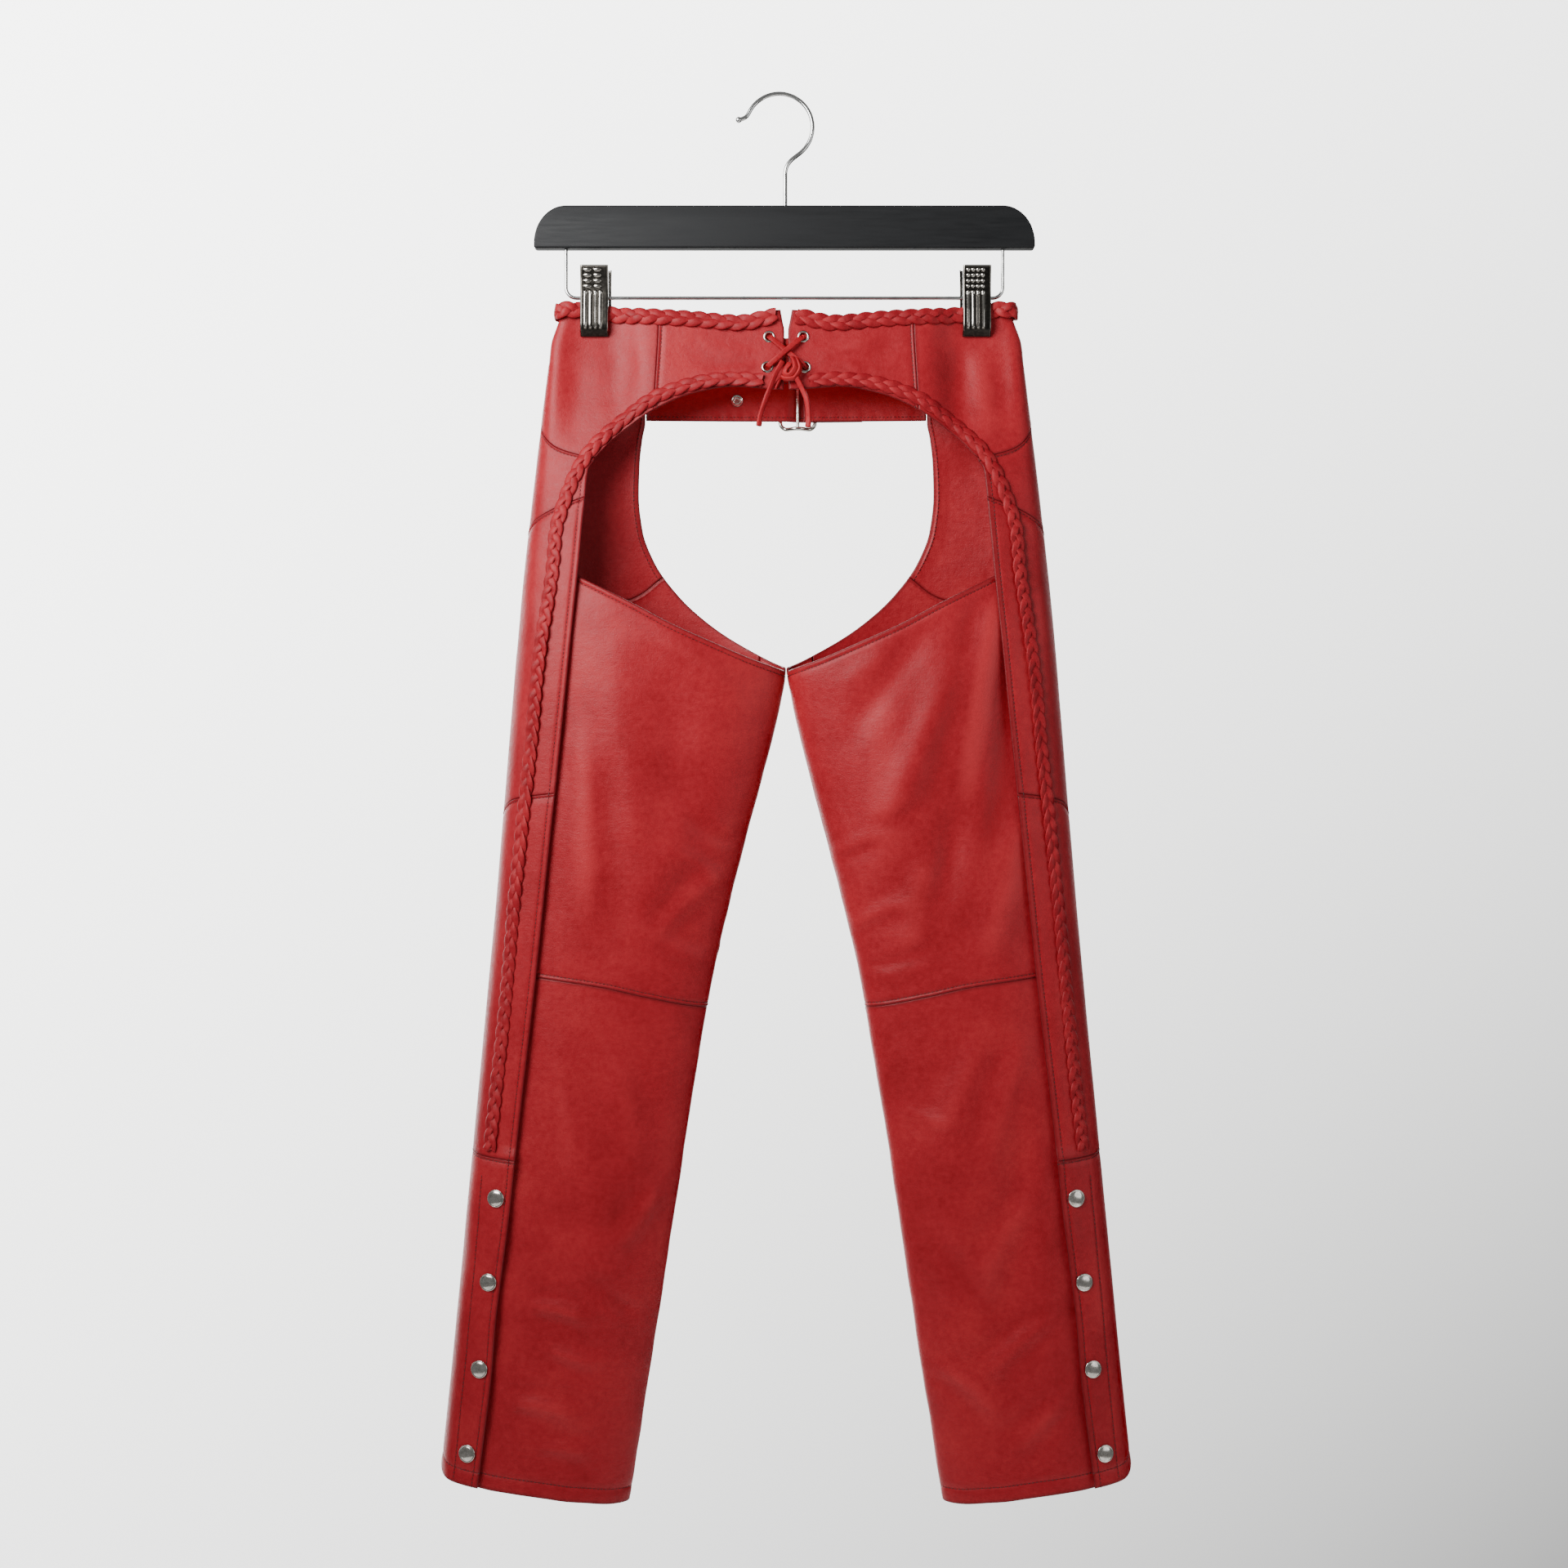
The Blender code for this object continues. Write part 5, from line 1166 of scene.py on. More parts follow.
def eyeletRing(at, axis, height):
    # a rolled flange on a short barrel, which goes down through the leather
    bore, radius = eyelet["bore"], eyelet["radius"]
    profile = ((bore, -2.3), (bore - 0.02, height - 0.2), (bore + 0.1, height + 0.45),
               (bore + 0.4, height + 0.9), (bore + 0.95, height + 1.1), (bore + 1.5, height + 0.9),
               (radius - 0.2, height + 0.45), (radius, height + 0.12), (radius - 0.15, height),
               (bore + 0.35, height), (bore + 0.3, -2.3))
    return lathe(profile, at, axis, eyelet["sides"])


for side, letter in ((-1, "left"), (1, "right")):
    for place, (x, z) in zip(("upper", "lower"), eyelet["places"]):
        turn = float(roundAt(x, z))
        at, normal = clothPoints(side, turn, z, True), clothNormals(side, turn, z, True)
        ring = eyeletRing(at, normal, onSkin(letter, at, normal, 4.6) + 0.03)
        solidPiece(f"eyelet_ring_{letter}_{place}", [ring], nickelPlate,
                   [f"eyelet_{letter}_{place}"], 50)

# The belt's two stretches, on the far side of the waist
belt = {
    "top": -238.6, "foot": -275.4, "middleZ": -258.5, "end": 121.0, "tip": 66.0, "buckleX": 11.5,
    "left": ((-121, 0), (-60, 0), (-12, 0), (0, 0), (5, 2.0), (9.5, 4.3), (33, 4.4), (66, 3.4)),
    "right": ((14.7, 0), (60, 0), (121, 0)),
    "stitchInset": 3.6,
    # the snap socket on the belt: radius and height of its rings, and of the cap behind
    "socket": ((0, 0.1), (1.7, 0.1), (1.95, 0.5), (2.2, 1.0), (2.6, 1.15), (3.0, 0.95), (3.3, 0.5),
               (3.9, 0.5), (4.3, 0.95), (4.8, 1.05), (5.2, 0.7), (5.25, 0.2), (5.1, 0), (0, 0)),
    "stud": ((0, 1.1), (3.0, 1.0), (4.6, 0.75), (5.2, 0.4), (5.25, 0.15), (5.1, 0), (0, 0)),
}


def farY(x, z):
    return clothPoints(1, -roundAt(np.abs(x), z), z, True)[..., 1]


def beltSurface(rows, seed):
    x = np.array([row[0] for row in rows], dtype=float)
    cuts = edgeCuts(x[-1] - x[0], 3.0) + x[0]
    tall = belt["top"] - belt["foot"]
    z = belt["top"] - edgeCuts(tall, 2.4)
    away = np.broadcast_to((belt["top"] - z)[:, None], (len(z), len(cuts)))
    out = along(rows, cuts)
    y = farY(cuts, np.full(len(cuts), belt["middleZ"])) + out
    points = np.stack(np.broadcast_arrays(garment["middleX"] + cuts[None], y[None], z[:, None]), axis=-1)
    slope = np.gradient(points, axis=1)
    normals = np.stack([slope[..., 1], -slope[..., 0], np.zeros(points.shape[:2])], axis=-1)
    normals = normals / np.linalg.norm(normals, axis=-1, keepdims=True)
    downward, sideways = lengths(points, 0), lengths(points, 1)
    apart = {"top": downward, "foot": downward[-1:] - downward,
             "start": sideways, "end": sideways[:, -1:] - sideways}
    nearest = np.minimum.reduce(list(apart.values()))
    relief = 0.35 * noiseField(points, 18, seed) + 0.12 * noiseField(points, 6, seed + 2)
    relief = relief * smoothStep(0, 6, nearest)
    for edge in ("top", "foot"):
        ripple = np.sin(math.tau * sideways / 4.2 + 2.5 * noiseField(points, 14, seed + 4))
        strong = (0.34 if edge == "foot" else 0.16) * (1 + noiseField(points, 30, seed + 5))
        reach = smoothStep(0.6, 3.0, apart[edge]) * (1 - smoothStep(4, 13, apart[edge]))
        relief = relief + ripple * strong * reach
        relief = relief - 0.34 * np.exp(-(((apart[edge] - belt["stitchInset"]) / 0.9) ** 2))
    # darker towards every edge of the belt through the leather's seam darkening: dirt with painted shade
    shade = np.exp(-nearest / 2.4)
    return {"points": points, "normals": normals, "relief": relief, "nearest": nearest,
            "shade": shade, "thicker": np.zeros(points.shape[:2]), "apart": apart}


beltStitches = []
for side, name in (("left", "strap_left"), ("right", "strap_right")):
    surface = beltSurface(belt[side], 3 if side == "left" else 8)
    made = shellPiece(f"belt_{side}", surface, False)
    tidy = bmesh.new()
    tidy.from_mesh(made.data)
    bmesh.ops.recalc_face_normals(tidy, faces=tidy.faces)
    tidy.to_mesh(made.data)
    tidy.free()
    if side == "left":
        x, z = eyelet["strap"]
        at = np.array([garment["middleX"] + x, float(farY(x, belt["middleZ"])), z])
        socket = lathe(belt["socket"], at - np.array([0, 0.85, 0]), (0, -1, 0), 44)
        back = lathe(belt["stud"], at + np.array([0, 0.85, 0]), (0, 1, 0), 44)
        solidPiece("socket_belt", [socket, back], nickelPlate, ["strap_eyelet"], 50)
    declareSheet(made, name)
    for edge in ("top", "foot"):
        for outerSide in (True, False):
            line, facing = surfaceLine(surface, edge, belt["stitchInset"], outerSide)
            beltStitches.append((line[2:-2] + facing[2:-2] * thread["sink"], facing[2:-2]))
rows = lineObject("stitches_belt", beltStitches)
sewn = applyTree(rows, stitches, {"Pitch": thread["pitch"] * mm, "Length": thread["length"] * mm,
                                  "Thickness": thread["thick"] * mm, "Thread": threadFinish})
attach(sewn, "root")
print("belt made")

# Buckle: a bent wire frame round a middle bar, whose ends bow out past the belt, and a prong
buckle = {"x": 11.5, "wide": 30.0, "tall": 45.0, "corner": 6.0, "wire": 1.8, "bar": 1.5, "bow": 6.2,
          "prong": 1.3}


def buckleShells():
    half, high, corner = buckle["wide"] / 2, buckle["tall"] / 2, buckle["corner"]
    y = float(farY(buckle["x"], belt["middleZ"])) + 1.0
    loop = []
    for start, sx, sz in ((0, 1, 1), (90, -1, 1), (180, -1, -1), (270, 1, -1)):
        for angle in np.radians(np.linspace(start, start + 90, 10)):
            loop.append((sx * (half - corner) + corner * math.cos(angle),
                         sz * (high - corner) + corner * math.sin(angle)))
    loop.append(loop[0])
    flat = lineThrough([(x, 0, z) for x, z in loop], 1.1)[:-1]
    bow = buckle["bow"] * smoothStep(1, half - 3, np.abs(flat[:, 0]))
    frame = flat + np.stack([np.full(len(flat), buckle["x"]), y + bow,
                             np.full(len(flat), belt["middleZ"])], axis=1)
    shells = [sweep(frame, (0, -1, 0), wireSection(buckle["wire"], 14), closed=True)]
    bar = np.array([(buckle["x"], y, belt["middleZ"] + t) for t in np.linspace(-high, high, 12)])
    shells.append(sweep(bar, (0, -1, 0), wireSection(buckle["bar"], 14)))
    reach = y + buckle["bow"] + buckle["wire"] + 1.6
    prong = lineThrough([(buckle["x"] - 0.5, reach - 3.4, belt["middleZ"]),
                         (buckle["x"] - 4, reach - 0.8, belt["middleZ"]),
                         (buckle["x"] - half - 1, reach, belt["middleZ"]),
                         (buckle["x"] - half - 3.5, reach - 0.6, belt["middleZ"])], 1.0)
    prong, width = roundEnds(prong, buckle["prong"], 1.0)
    return shells, [sweep(prong, (0, 0, 1), wireSection(buckle["prong"], 12), width)]


frameShells, prongShells = buckleShells()
solidPiece("buckle_loop", frameShells, nickelPlate, ["buckle_frame"])
solidPiece("buckle_tongue", prongShells, nickelPlate, ["buckle_prong"])
print("buckle made")

# Lace thong, cut from the same leather: round-shouldered, with a softer, drier face
laceNappa = dict(nappa, deep="#840D16", middle="#9A151E", light="#AC2428", mottle=2.4, cloud=16.0)
laceLeather = leatherMaterial("nappa lace, cut thong", laceNappa, 0.5, 1.0, 0.04)
lace = {
    "width": 4.7, "thick": 1.9, "under": 3.8, "over": 5.9,
    # the two free ends, from the knot down: x, height and how far proud of the skin
    "left": ((-1.4, -232.0, 6.6), (-3.6, -236.2, 8.4), (-6.7, -241.6, 7.6), (-10.2, -249.4, 5.6),
             (-13.9, -259.0, 4.6), (-17.6, -269.0, 3.8), (-20.4, -278.0, 2.6), (-21.8, -286.6, 2.6)),
    "right": ((9.6, -245.4, 6.4), (12.4, -250.2, 5.6), (15.7, -256.6, 4.8), (18.6, -264, 4.8),
              (20, -272, 4.2), (20.4, -280, 3.2), (19.8, -287.6, 3.0)),
    # the knot's turns: x, height and how far it stands out from the knot's own middle
    "turns": (
        ((10.4, -228.6, -1.4), (12.0, -232.0, 0.8), (13.4, -237.2, 2.6), (11.4, -242.6, 3.4),
         (6.6, -246.9, 3.4), (1.2, -246.8, 2.2), (-3.4, -244.4, 0.2)),
        ((6.6, -227.4, -1.0), (8.6, -231.6, 2.2), (9.3, -236.6, 4.0), (7.2, -241.4, 4.8),
         (3.4, -244.2, 4.4), (0.2, -242.4, 3.8), (0.9, -238.8, 3.4), (3.2, -235.6, 2.6),
         (5.2, -233.0, 0.6)),
        ((2.4, -233.4, 0.2), (4.4, -236.8, 1.6), (5.2, -240.4, 1.6), (3.0, -242.0, 1.0)),
        ((-3.2, -245.6, -1.6), (-6.2, -250.0, -1.2), (-8.8, -254.8, -1.8)),
    ),
    # strands behind the leather, from eyelet to eyelet: x, height, how far behind
    "behind": (
        ((-19.0, -208.2, 2.0), (-12, -209.6, 2.5), (0, -212.6, 2.9), (12, -209.6, 2.5),
         (19.0, -208.2, 2.0)),
        ((-20.4, -236.6, 2.0), (-13, -233.8, 2.6), (0, -228.4, 3.2), (13, -233.8, 2.6),
         (20.4, -236.6, 2.0)),
    ),
    "loop": ((-0.6, -214.6, 5.2), (0.5, -220.5, 5.6), (-0.4, -228, 5.8), (0.6, -236, 5.6),
             (0, -243, 5.2)),
}


def nearY(x, z):
    return float(clothPoints(1, roundAt(abs(x), z), z, True)[1])


def crossingPath(start, end, proud):
    length = math.hypot(end[0] - start[0], end[1] - start[1])
    rows = []
    for inside, stand in ((0, -3.2), (1.0, 1.6), (2.8, 3.4), (length / 2 - 4, proud)):
        rows.append((inside, stand))
    rows += [(length - inside, stand) for inside, stand in rows[::-1]]
    path = []
    for inside, stand in rows:
        t = inside / length
        x, z = start[0] + (end[0] - start[0]) * t, start[1] + (end[1] - start[1]) * t
        path.append((garment["middleX"] + x, nearY(x, z) - stand, z))
    return lineThrough(path, 0.8)


(upperX, upperZ), (lowerX, lowerZ) = eyelet["places"]
for name, start, end, proud in (
        ("lace_under", (-upperX, upperZ), (lowerX, lowerZ), lace["under"]),
        ("lace_over", (-lowerX, lowerZ), (upperX, upperZ), lace["over"])):
    path = crossingPath(start, end, proud)
    twist = 0.35 * np.sin(np.linspace(0, 5, len(path)))
    facing = np.stack([twist, np.full(len(path), -1.0), twist * 0.5], axis=1)
    strands = [sweep(path, facing, thong(lace["width"], lace["thick"]))]
    for rows in (lace["behind"][0],) if name == "lace_under" else (lace["behind"][1], lace["loop"]):
        path = lineThrough([(garment["middleX"] + x, nearY(x, z) + back, z) for x, z, back in rows], 1.2)
        path, width = roundEnds(path, 1.2, 1.2)
        strands.append(sweep(path, (0, -1, 0), thong(lace["width"] + 1.4, 1.5), width))
    solidPiece(f"{name}_thong", strands, laceLeather, [name], 70)

knotY = nearY(6, -240) - garment["wall"] / 2 - 0.45 - 4.5
turns, turnPaintedLight = [], []
for rows in lace["turns"]:
    path = lineThrough([(x, knotY - out, z) for x, z, out in rows], 0.7)
    path, width = roundEnds(path, 1.6, 0.7)
    around = path - np.array([4.5, knotY + 3, -238])
    facing = around / np.linalg.norm(around, axis=1, keepdims=True)
    shell = sweep(path, facing, thong(4.6, 2.5, 16), width)
    turns.append(shell)
    # painted light: turns that stand out are coloured lighter, tucked turns darker, through the leather's ridge and
    # crease colouring
    turnPaintedLight.append(np.repeat(0.42 + 0.055 * (knotY - path[:, 1]), 16))
solidPiece("lace_knot_turns", turns, laceLeather, ["lace_knot"], 70, turnPaintedLight)

base = nearY(15, -250) - garment["wall"] / 2
for letter in ("left", "right"):
    path = lineThrough([(x, base - proud, z) for x, z, proud in lace[letter]], 1.0)
    line, width = roundEnds(path, 0.9, 1.0)
    t = np.linspace(0, 1, len(line))
    broad = width * (1 + 0.14 * smoothStep(0.75, 0.95, t))
    twist = (0.8 if letter == "left" else -0.5) * np.sin(2.2 * t + 0.3)
    facing = np.stack([twist, np.full(len(line), -1.0), np.zeros(len(line))], axis=1)
    strand = sweep(line, facing, thong(4.4, 2.6), broad)
    made = solidPiece(f"lace_tail_{letter}", [strand], laceLeather,
                      [f"lace_end_{letter}"], 70)
print("lace tied")

# The hanger's wire: the hook with its bead, and the rail under the bar
hanger = {
    "hookWire": 1.9, "hookRadius": 28.6, "hookX": -4.5, "bead": 2.7,
    "hookTip": ((-39.2, -20.1), (-36.4, -19.4), (-32.8, -17.4)),
    "hookStem": ((4.7, -55.9), (1.5, -61.5), (0.7, -67), (0.7, -94.2)),
    "length": 428.4, "top": -94.5, "foot": -131.2, "depth": 12.0, "shoulder": (27.5, 32.0),
    "toe": 2.4, "rounding": 1.6,
    "railWire": 1.6, "railX": 187.0, "railZ": -172.9, "railBend": 9.0,
}


def hookShells():
    inner = hanger["hookRadius"] - hanger["hookWire"]
    middleZ = -math.sqrt(inner**2 - hanger["hookX"] ** 2)
    angles = np.radians(np.linspace(155, -50, 60))
    loop = [(hanger["hookX"] + hanger["hookRadius"] * math.cos(a),
             middleZ + hanger["hookRadius"] * math.sin(a)) for a in angles]
    rows = [*hanger["hookTip"], *loop, *hanger["hookStem"]]
    path = lineThrough([(x, 0, z) for x, z in rows], 1.2)
    wire = sweep(path, (0, -1, 0), wireSection(hanger["hookWire"], 18))
    angles = np.linspace(0, math.pi, 15)
    bead = [(hanger["bead"] * math.sin(a), hanger["bead"] * math.cos(a)) for a in angles]
    tipX, tipZ = hanger["hookTip"][0]
    return [wire, lathe(bead, (tipX, 0, tipZ), (0, 0, 1), 24)]


def railPath():
    x, z, bend, top = hanger["railX"], hanger["railZ"], hanger["railBend"], hanger["foot"] - 0.3
    rows = [(-x, top)]
    for middle, start in ((-x + bend, 180), (x - bend, 270)):
        for angle in np.radians(np.linspace(start, start + 90, 12)):
            rows.append((middle + bend * math.cos(angle), z + bend + bend * math.sin(angle)))
    rows.append((x, top))
    return lineThrough([(x, 0, z) for x, z in rows], 1.5)


solidPiece("hook_wire", hookShells(), chromeWire, ["hanger_hook"], 60)
solidPiece("rail_wire", [sweep(railPath(), (0, -1, 0), wireSection(hanger["railWire"], 16))],
           chromeWire, ["clip_rail"], 60)


def barOutline():
    across, rise = hanger["shoulder"]
    half, foot, top, toe = hanger["length"] / 2, hanger["foot"], hanger["top"], hanger["toe"]
    corner = [(half - toe + toe * math.cos(a), foot + toe + toe * math.sin(a))
              for a in np.radians(np.linspace(-90, 0, 8))]
    corner += [(half - across + across * math.cos(a), top - rise + rise * math.sin(a))
               for a in np.radians(np.linspace(0, 90, 30))]
    return np.array(corner + [(-x, z) for x, z in corner[::-1]])


def barShell():
    outline = barOutline()
    way = np.roll(outline, -1, axis=0) - np.roll(outline, 1, axis=0)
    inward = np.stack([-way[:, 1], way[:, 0]], axis=1)
    inward = inward / np.linalg.norm(inward, axis=1, keepdims=True)
    half, rounding = hanger["depth"] / 2, hanger["rounding"]
    rings = []
    angles = np.linspace(0, math.pi / 2, 6)
    for a in angles:
        rings.append((half - rounding * (1 - math.sin(math.pi / 2 - a)), rounding * (1 - math.sin(a))))
    rings = [(-y, inset) for y, inset in rings] + [(y, inset) for y, inset in rings[::-1]]
    verts = []
    for y, inset in rings:
        ring = outline + inward * inset
        verts += [(x, y, z) for x, z in ring]
    count = len(outline)
    faces = []
    for r in range(len(rings) - 1):
        for k in range(count):
            n = (k + 1) % count
            faces.append((r * count + k, r * count + n, (r + 1) * count + n, (r + 1) * count + k))
    faces += [tuple(range(count)), tuple((len(rings) - 1) * count + k for k in range(count))]
    return verts, faces


# Beech, sprayed with black satin lacquer: the grain shows only as a faint drag in the gloss
lacquer = {"base": "#0D0E10", "worn": "#121315", "grain": 2.2, "roughness": 0.52}


def lacqueredWood():
    made, tree, shader = newMaterial("beech, black satin lacquer",
                                     {"Specular IOR Level": 0.3})
    where = addNode(tree, "ShaderNodeTexCoord").outputs["Object"]
    stretched = addNode(tree, "ShaderNodeMapping", {"Vector": where, "Scale": (0.07, 1.0, 1.0)})
    grain = addNode(tree, "ShaderNodeTexNoise", {"Vector": stretched.outputs["Vector"],
                                                 "Scale": 1000 / lacquer["grain"], "Detail": 6.0,
                                                 "Roughness": 0.6, "Distortion": 0.3})
    tree.links.new(ramp(tree, grain.outputs["Fac"], ((0.35, lacquer["base"]), (0.7, lacquer["worn"]))),
                   shader.inputs["Base Color"])
    gloss = addNode(tree, "ShaderNodeMapRange", {0: grain.outputs["Fac"], 1: 0.3, 2: 0.7,
                                                 3: lacquer["roughness"] - 0.04,
                                                 4: lacquer["roughness"] + 0.1})
    tree.links.new(gloss.outputs[0], shader.inputs["Roughness"])
    bump = addNode(tree, "ShaderNodeBump", {"Strength": 0.18, "Distance": 0.0002,
                                            "Height": grain.outputs["Fac"]})
    tree.links.new(bump.outputs["Normal"], shader.inputs["Normal"])
    return made


solidPiece("bar_lacquered", [barShell()], lacqueredWood(), ["hanger_bar"], 50)
print("hanger made")

# Clips: pressed plates with raised ribs and a grip of bumps, on a spring round the rail
clip = {
    "x": 162.8, "width": 23.0, "plate": 1.1, "cell": 0.62, "backShift": 1.6,
    "line": ((-146.5, 11.6), (-150, 11.2), (-158, 9.3), (-166, 8.3), (-172, 8.4), (-178, 9.2),
             (-184, 10.2), (-197, 10.6), (-201, 9.6), (-204.2, 6.6), (-206.5, 4.2)),
    "flange": ((-206.5, 0.6), (-203, 1.6), (-198, 4.2), (-184, 4.4), (-178, 3.8), (-168, 3.6),
               (-160, 3.4), (-150, 3.0), (-146.5, 1.6)),
    "ribs": (-7.7, -3.4, 0.9, 5.2), "ribTop": -168.6, "ribFoot": -200.4, "ribWide": 0.9,
    "ribLift": 1.05, "gripRows": (-151.0, -155.5, -160.0, -164.5),
    "lozenges": (-5.6, 2.8), "dots": (-7.7, -3.5, 0.7, 4.9),
    "springRadius": 2.75, "springWire": 0.72, "springHalf": 9.0,
}


def clipMetal():
    # dark nickel plate on pressed steel: lighter on the raised ribs, bumps, side edges and top edge, darker in the
    # hollows and at the jaw's lip
    made, tree, shader = newMaterial("dark nickel plated steel, pressed", {"Metallic": 1.0})
    relief = addNode(tree, "ShaderNodeAttribute", attribute_name="relief").outputs["Fac"]
    where = addNode(tree, "ShaderNodeTexCoord").outputs["Object"]
    haze = addNode(tree, "ShaderNodeTexNoise", {"Vector": where, "Scale": 400.0, "Detail": 5.0})
    mixed = addNode(tree, "ShaderNodeMath", {0: haze.outputs["Fac"], 1: 0.22, 2: -0.11},
                    operation="MULTIPLY_ADD")
    level = addNode(tree, "ShaderNodeMath", {0: relief, 1: mixed.outputs[0]}, operation="ADD")
    colour = ramp(tree, level.outputs[0], ((0.14, "#2B2926"), (0.42, "#5E5A54"), (0.85, "#BDB9B2")))
    tree.links.new(colour, shader.inputs["Base Color"])
    gloss = addNode(tree, "ShaderNodeMapRange", {0: level.outputs[0], 1: 0.2, 2: 0.8, 3: 0.34, 4: 0.16})
    tree.links.new(gloss.outputs[0], shader.inputs["Roughness"])
    bump = addNode(tree, "ShaderNodeBump", {"Strength": 0.15, "Distance": 0.0001,
                                            "Height": haze.outputs["Fac"]})
    tree.links.new(bump.outputs["Normal"], shader.inputs["Normal"])
    return made


def jawShell(middle, facing, shift, side, detailed):
    # one jaw: a plate that follows the jaw's line, with turned sides and pressed relief
    line = np.array(clip["line"], dtype=float)
    arc = lengths(line[None], 1)[0]
    spots = np.linspace(0, arc[-1], round(arc[-1] / clip["cell"]) + 1)
    z = np.interp(spots, arc, line[:, 0])
    z = np.convolve(np.pad(z, 2, mode="edge"), np.ones(5) / 5, mode="valid")
    y = np.interp(spots, arc, line[:, 1])
    y = np.convolve(np.pad(y, 2, mode="edge"), np.ones(5) / 5, mode="valid")
    half, round_ = clip["width"] / 2, 0.9
    face = np.linspace(-half + round_, half - round_, round(clip["width"] / clip["cell"]))
    bend = np.linspace(0, math.pi / 2, 5)[1:]
    depth = along(clip["flange"], z)
    columns = []
    for sign in (-1, 1):
        edge = [(sign * (half - round_ + round_ * math.sin(a)), round_ * (1 - math.cos(a)), 0.0)
                for a in bend]
        edge += [(sign * half, round_, share) for share in (0.5, 1.0)]
        columns.append(edge)
    layout = columns[0][::-1] + [(x, 0.0, 0.0) for x in face] + columns[1]
    x = np.array([c[0] for c in layout])[None] + np.zeros((len(z), 1))
    inset = np.array([c[1] for c in layout])[None] + np.array([c[2] for c in layout])[None] * depth[:, None]
    zz = np.broadcast_to(z[:, None], x.shape)
    flat = smoothStep(half - 0.4, half - 1.4, np.abs(x))
    relief = np.zeros(x.shape)
    if detailed:
        ends = smoothStep(clip["ribFoot"] - 1, clip["ribFoot"] + 1, zz) * smoothStep(
            clip["ribTop"] + 0.6, clip["ribTop"] - 0.6, zz)
        for ribX in clip["ribs"]:
            relief = np.maximum(relief, ends * np.exp(-(((x - ribX) / clip["ribWide"]) ** 4)))
            head = np.hypot((x - ribX) / 1.45, (zz - clip["ribTop"] + 1.0) / 1.5)
            relief = np.maximum(relief, 1.25 * np.sqrt(np.clip(1 - head**2, 0, 1)))
        for gripZ in clip["gripRows"]:
            for gripX in clip["lozenges"] if side < 0 else clip["dots"]:
                wide, tall = (3.4, 1.5) if side < 0 else (1.5, 1.45)
                away = np.hypot((x - gripX) / wide, (zz - gripZ) / tall)
                relief = np.maximum(relief, 1.1 * np.sqrt(np.clip(1 - away**2, 0, 1)))
    lift = relief * clip["ribLift"] * flat
    depthY = y[:, None] - inset + lift
    points = np.stack([middle + shift + x, facing * depthY, zz], axis=-1)
    down, across = np.gradient(points, axis=0), np.gradient(points, axis=1)
    normals = np.cross(down, across)
    normals = normals / np.linalg.norm(normals, axis=-1, keepdims=True)
    count = points.shape[0] * points.shape[1]
    inside = points - normals * clip["plate"] / 2
    outside = points + normals * clip["plate"] / 2
    verts = np.concatenate([outside.reshape(-1, 3), inside.reshape(-1, 3)])
    index = np.arange(count).reshape(points.shape[:2])
    quads = np.stack([index[:-1, :-1], index[1:, :-1], index[1:, 1:], index[:-1, 1:]],
                     axis=-1).reshape(-1, 4)
    faces = [tuple(q) for q in quads] + [tuple(q[::-1] + count) for q in quads]
    rim = [*index[0, :-1], *index[:-1, -1], *index[-1, :0:-1], *index[:0:-1, 0]]
    for here, after in zip(rim, rim[1:] + rim[:1]):
        faces.append((here, after, after + count, here + count))
    # lighter on the raised relief, the side edges and the top edge, darker at the lip below
    shade = 0.16 + 0.72 * relief * flat
    edgeBright = smoothStep(half - 1.0, half - 0.2, np.abs(x)) * 0.5
    topBright = smoothStep(-149.2, -148.0, zz) * 0.42
    shade = np.maximum(shade, np.maximum(0.16 + edgeBright, 0.16 + topBright))
    if not detailed:
        shade = np.full(x.shape, 0.5)
    shade = np.where(zz < -202.2, np.minimum(shade, 0.3), shade)
    return (verts, faces), np.tile(shade.ravel(), 2)


def springShell(middle):
    turnsCount = clip["springHalf"] / clip["springWire"]
    angles = np.linspace(0, math.tau * turnsCount, int(turnsCount * 18))
    path = np.stack([middle + np.linspace(-clip["springHalf"], clip["springHalf"], len(angles)),
                     clip["springRadius"] * np.cos(angles),
                     hanger["railZ"] + clip["springRadius"] * np.sin(angles)], axis=1)
    facing = path - np.array([0, 0, hanger["railZ"]])
    facing[:, 0] = 0
    return sweep(path, facing, wireSection(clip["springWire"], 8))


clipFinish = clipMetal()
for side, letter in ((-1, "left"), (1, "right")):
    middle = side * clip["x"] + (garment["middleX"] if side > 0 else 0.6)
    for name, facing, shift, detailed in (("front", -1, 0.0, True),
                                          ("back", 1, -side * clip["backShift"], True)):
        shell, shade = jawShell(middle, facing, shift, side, detailed)
        solidPiece(f"clip_jaw_{name}_{letter}", [shell], clipFinish,
                   [f"clip_{name}_{letter}"], 40, [shade])
    solidPiece(f"clip_spring_{letter}", [springShell(middle)], chromeWire,
               [f"clip_barrel_{letter}"], 60)
print("clips made")

# The camera stands level with the middle of the picture, which is 1919 pixels square
viewpoint = {"scale": 0.7, "picture": 1919, "seatRow": 118, "seatColumn": 960, "distance": 1900}
stage = {"floor": -1900, "floorSize": 3000}

# The wall behind is a bright patch of sky at +Y, brighter to the upper left; all round it the
# studio is dim, so that the leather keeps its colour
studio = {"dim": 0.2, "wall": 3.45, "leftward": 4.1, "upward": 4.7, "edge": (0.3, 0.9)}


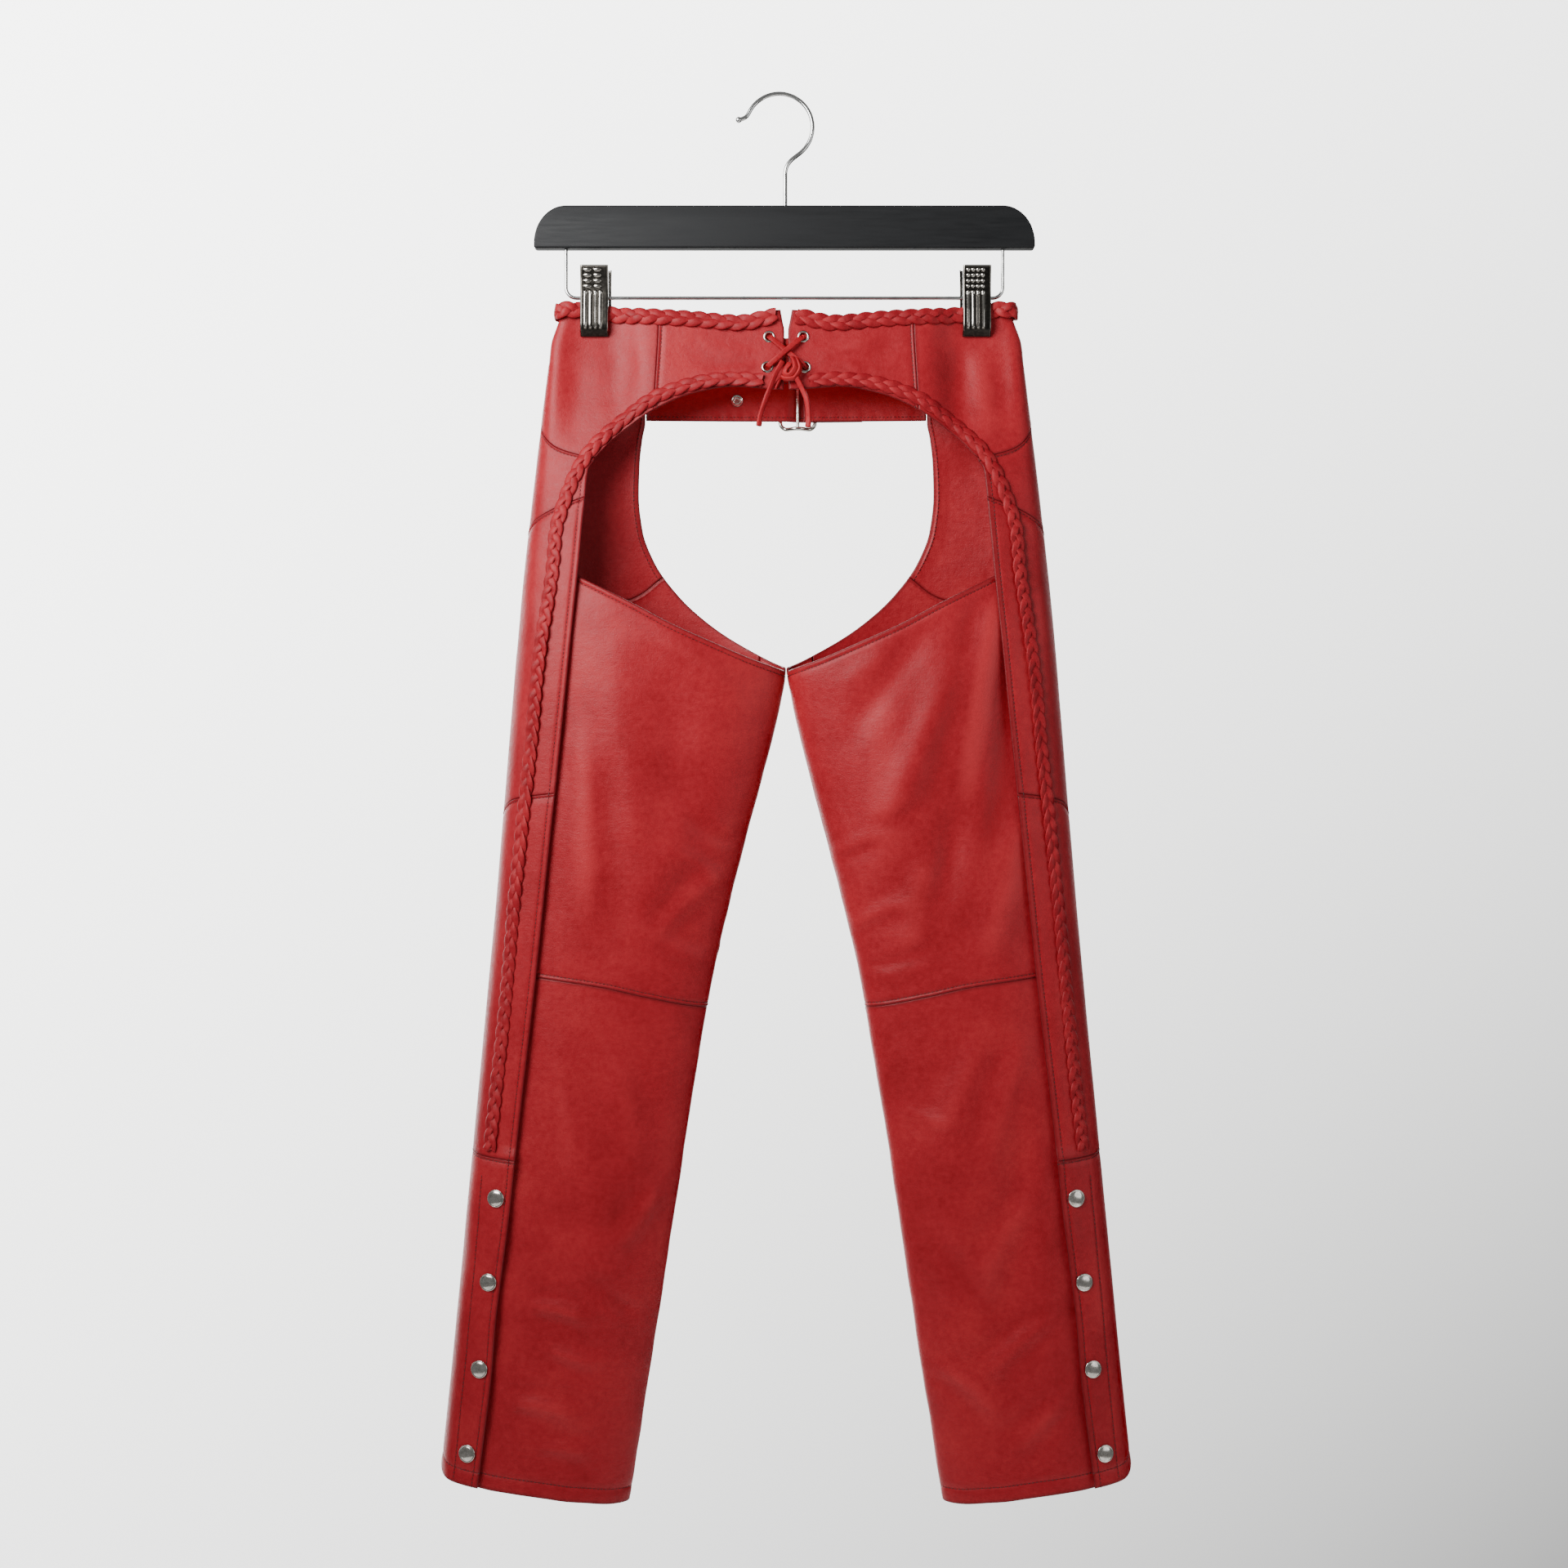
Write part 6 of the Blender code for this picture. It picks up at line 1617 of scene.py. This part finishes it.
def addCamera():
    data = bpy.data.cameras.new("view")
    middle = viewpoint["picture"] / 2
    x = (middle - viewpoint["seatColumn"]) * viewpoint["scale"]
    z = -(middle - viewpoint["seatRow"]) * viewpoint["scale"]
    data.sensor_width = 36
    data.lens = 36 * viewpoint["distance"] / (viewpoint["picture"] * viewpoint["scale"])
    data.clip_end = 30
    made = bpy.data.objects.new("view", data)
    made.location = (x * mm, -viewpoint["distance"] * mm, z * mm)
    made.rotation_euler = (math.pi / 2, 0, 0)
    bpy.context.scene.collection.objects.link(made)
    bpy.context.scene.camera = made


def addFloor():
    # matt pale studio floor, plain painted board
    made, tree, shader = newMaterial("matt painted studio floor", {"Roughness": 0.9})
    where = addNode(tree, "ShaderNodeTexCoord").outputs["Object"]
    fleck = addNode(tree, "ShaderNodeTexNoise", {"Vector": where, "Scale": 3.0, "Detail": 3.0})
    tree.links.new(ramp(tree, fleck.outputs["Fac"], ((0.0, "#EFEEEC"), (1.0, "#F3F2F0"))),
                   shader.inputs["Base Color"])
    half = stage["floorSize"] / 2
    corners = [(x * half, y * half, stage["floor"]) for x, y in ((-1, -1), (1, -1), (1, 1), (-1, 1))]
    floor = pieceFrom("studio_floor", corners, [(0, 1, 2, 3)], made)


def addLight(name, place, size, energy, colour, target=(0, 0, -0.6), spread=180):
    data = bpy.data.lights.new(name, "AREA")
    data.spread = math.radians(spread)
    data.shape = "DISK"
    data.size = size
    data.energy = energy
    data.color = hexColour(colour)[:3]
    made = bpy.data.objects.new(name, data)
    made.location = place
    made.rotation_euler = (Vector(target) - Vector(place)).to_track_quat("-Z", "Y").to_euler()
    bpy.context.scene.collection.objects.link(made)


def addWorld():
    world = bpy.data.worlds.new("studio")
    bpy.context.scene.world = world
    world.use_nodes = True
    tree = world.node_tree
    background = tree.nodes["Background"]
    background.inputs["Color"].default_value = hexColour("#FEFEFD")
    way = addNode(tree, "ShaderNodeTexCoord").outputs["Generated"]
    parts = addNode(tree, "ShaderNodeSeparateXYZ", {0: way}).outputs
    leftward = addNode(tree, "ShaderNodeMath", {0: parts["X"], 1: -studio["leftward"],
                                                2: studio["wall"]}, operation="MULTIPLY_ADD")
    upward = addNode(tree, "ShaderNodeMath", {0: parts["Z"], 1: studio["upward"],
                                              2: leftward.outputs[0]}, operation="MULTIPLY_ADD")
    low, high = studio["edge"]
    behind = addNode(tree, "ShaderNodeMapRange", {0: parts["Y"], 1: low, 2: high,
                                                  3: 0.0, 4: 1.0}).outputs[0]
    strength = addNode(tree, "ShaderNodeMix", {0: behind, 2: studio["dim"],
                                               3: upward.outputs[0]}, data_type="FLOAT")
    tree.links.new(strength.outputs[0], background.inputs["Strength"])


addCamera()
addFloor()
addWorld()
addLight("window", (-0.82, -0.95, 0.16), 1.1, 16, "#FFFFFF", (-0.06, 0, -0.2), 108)
addLight("fill", (1.6, -1.2, -0.4), 1.5, 9, "#FFFFFF")
addLight("behind", (0.4, 1.6, 0.4), 1.2, 10, "#FFFFFF")
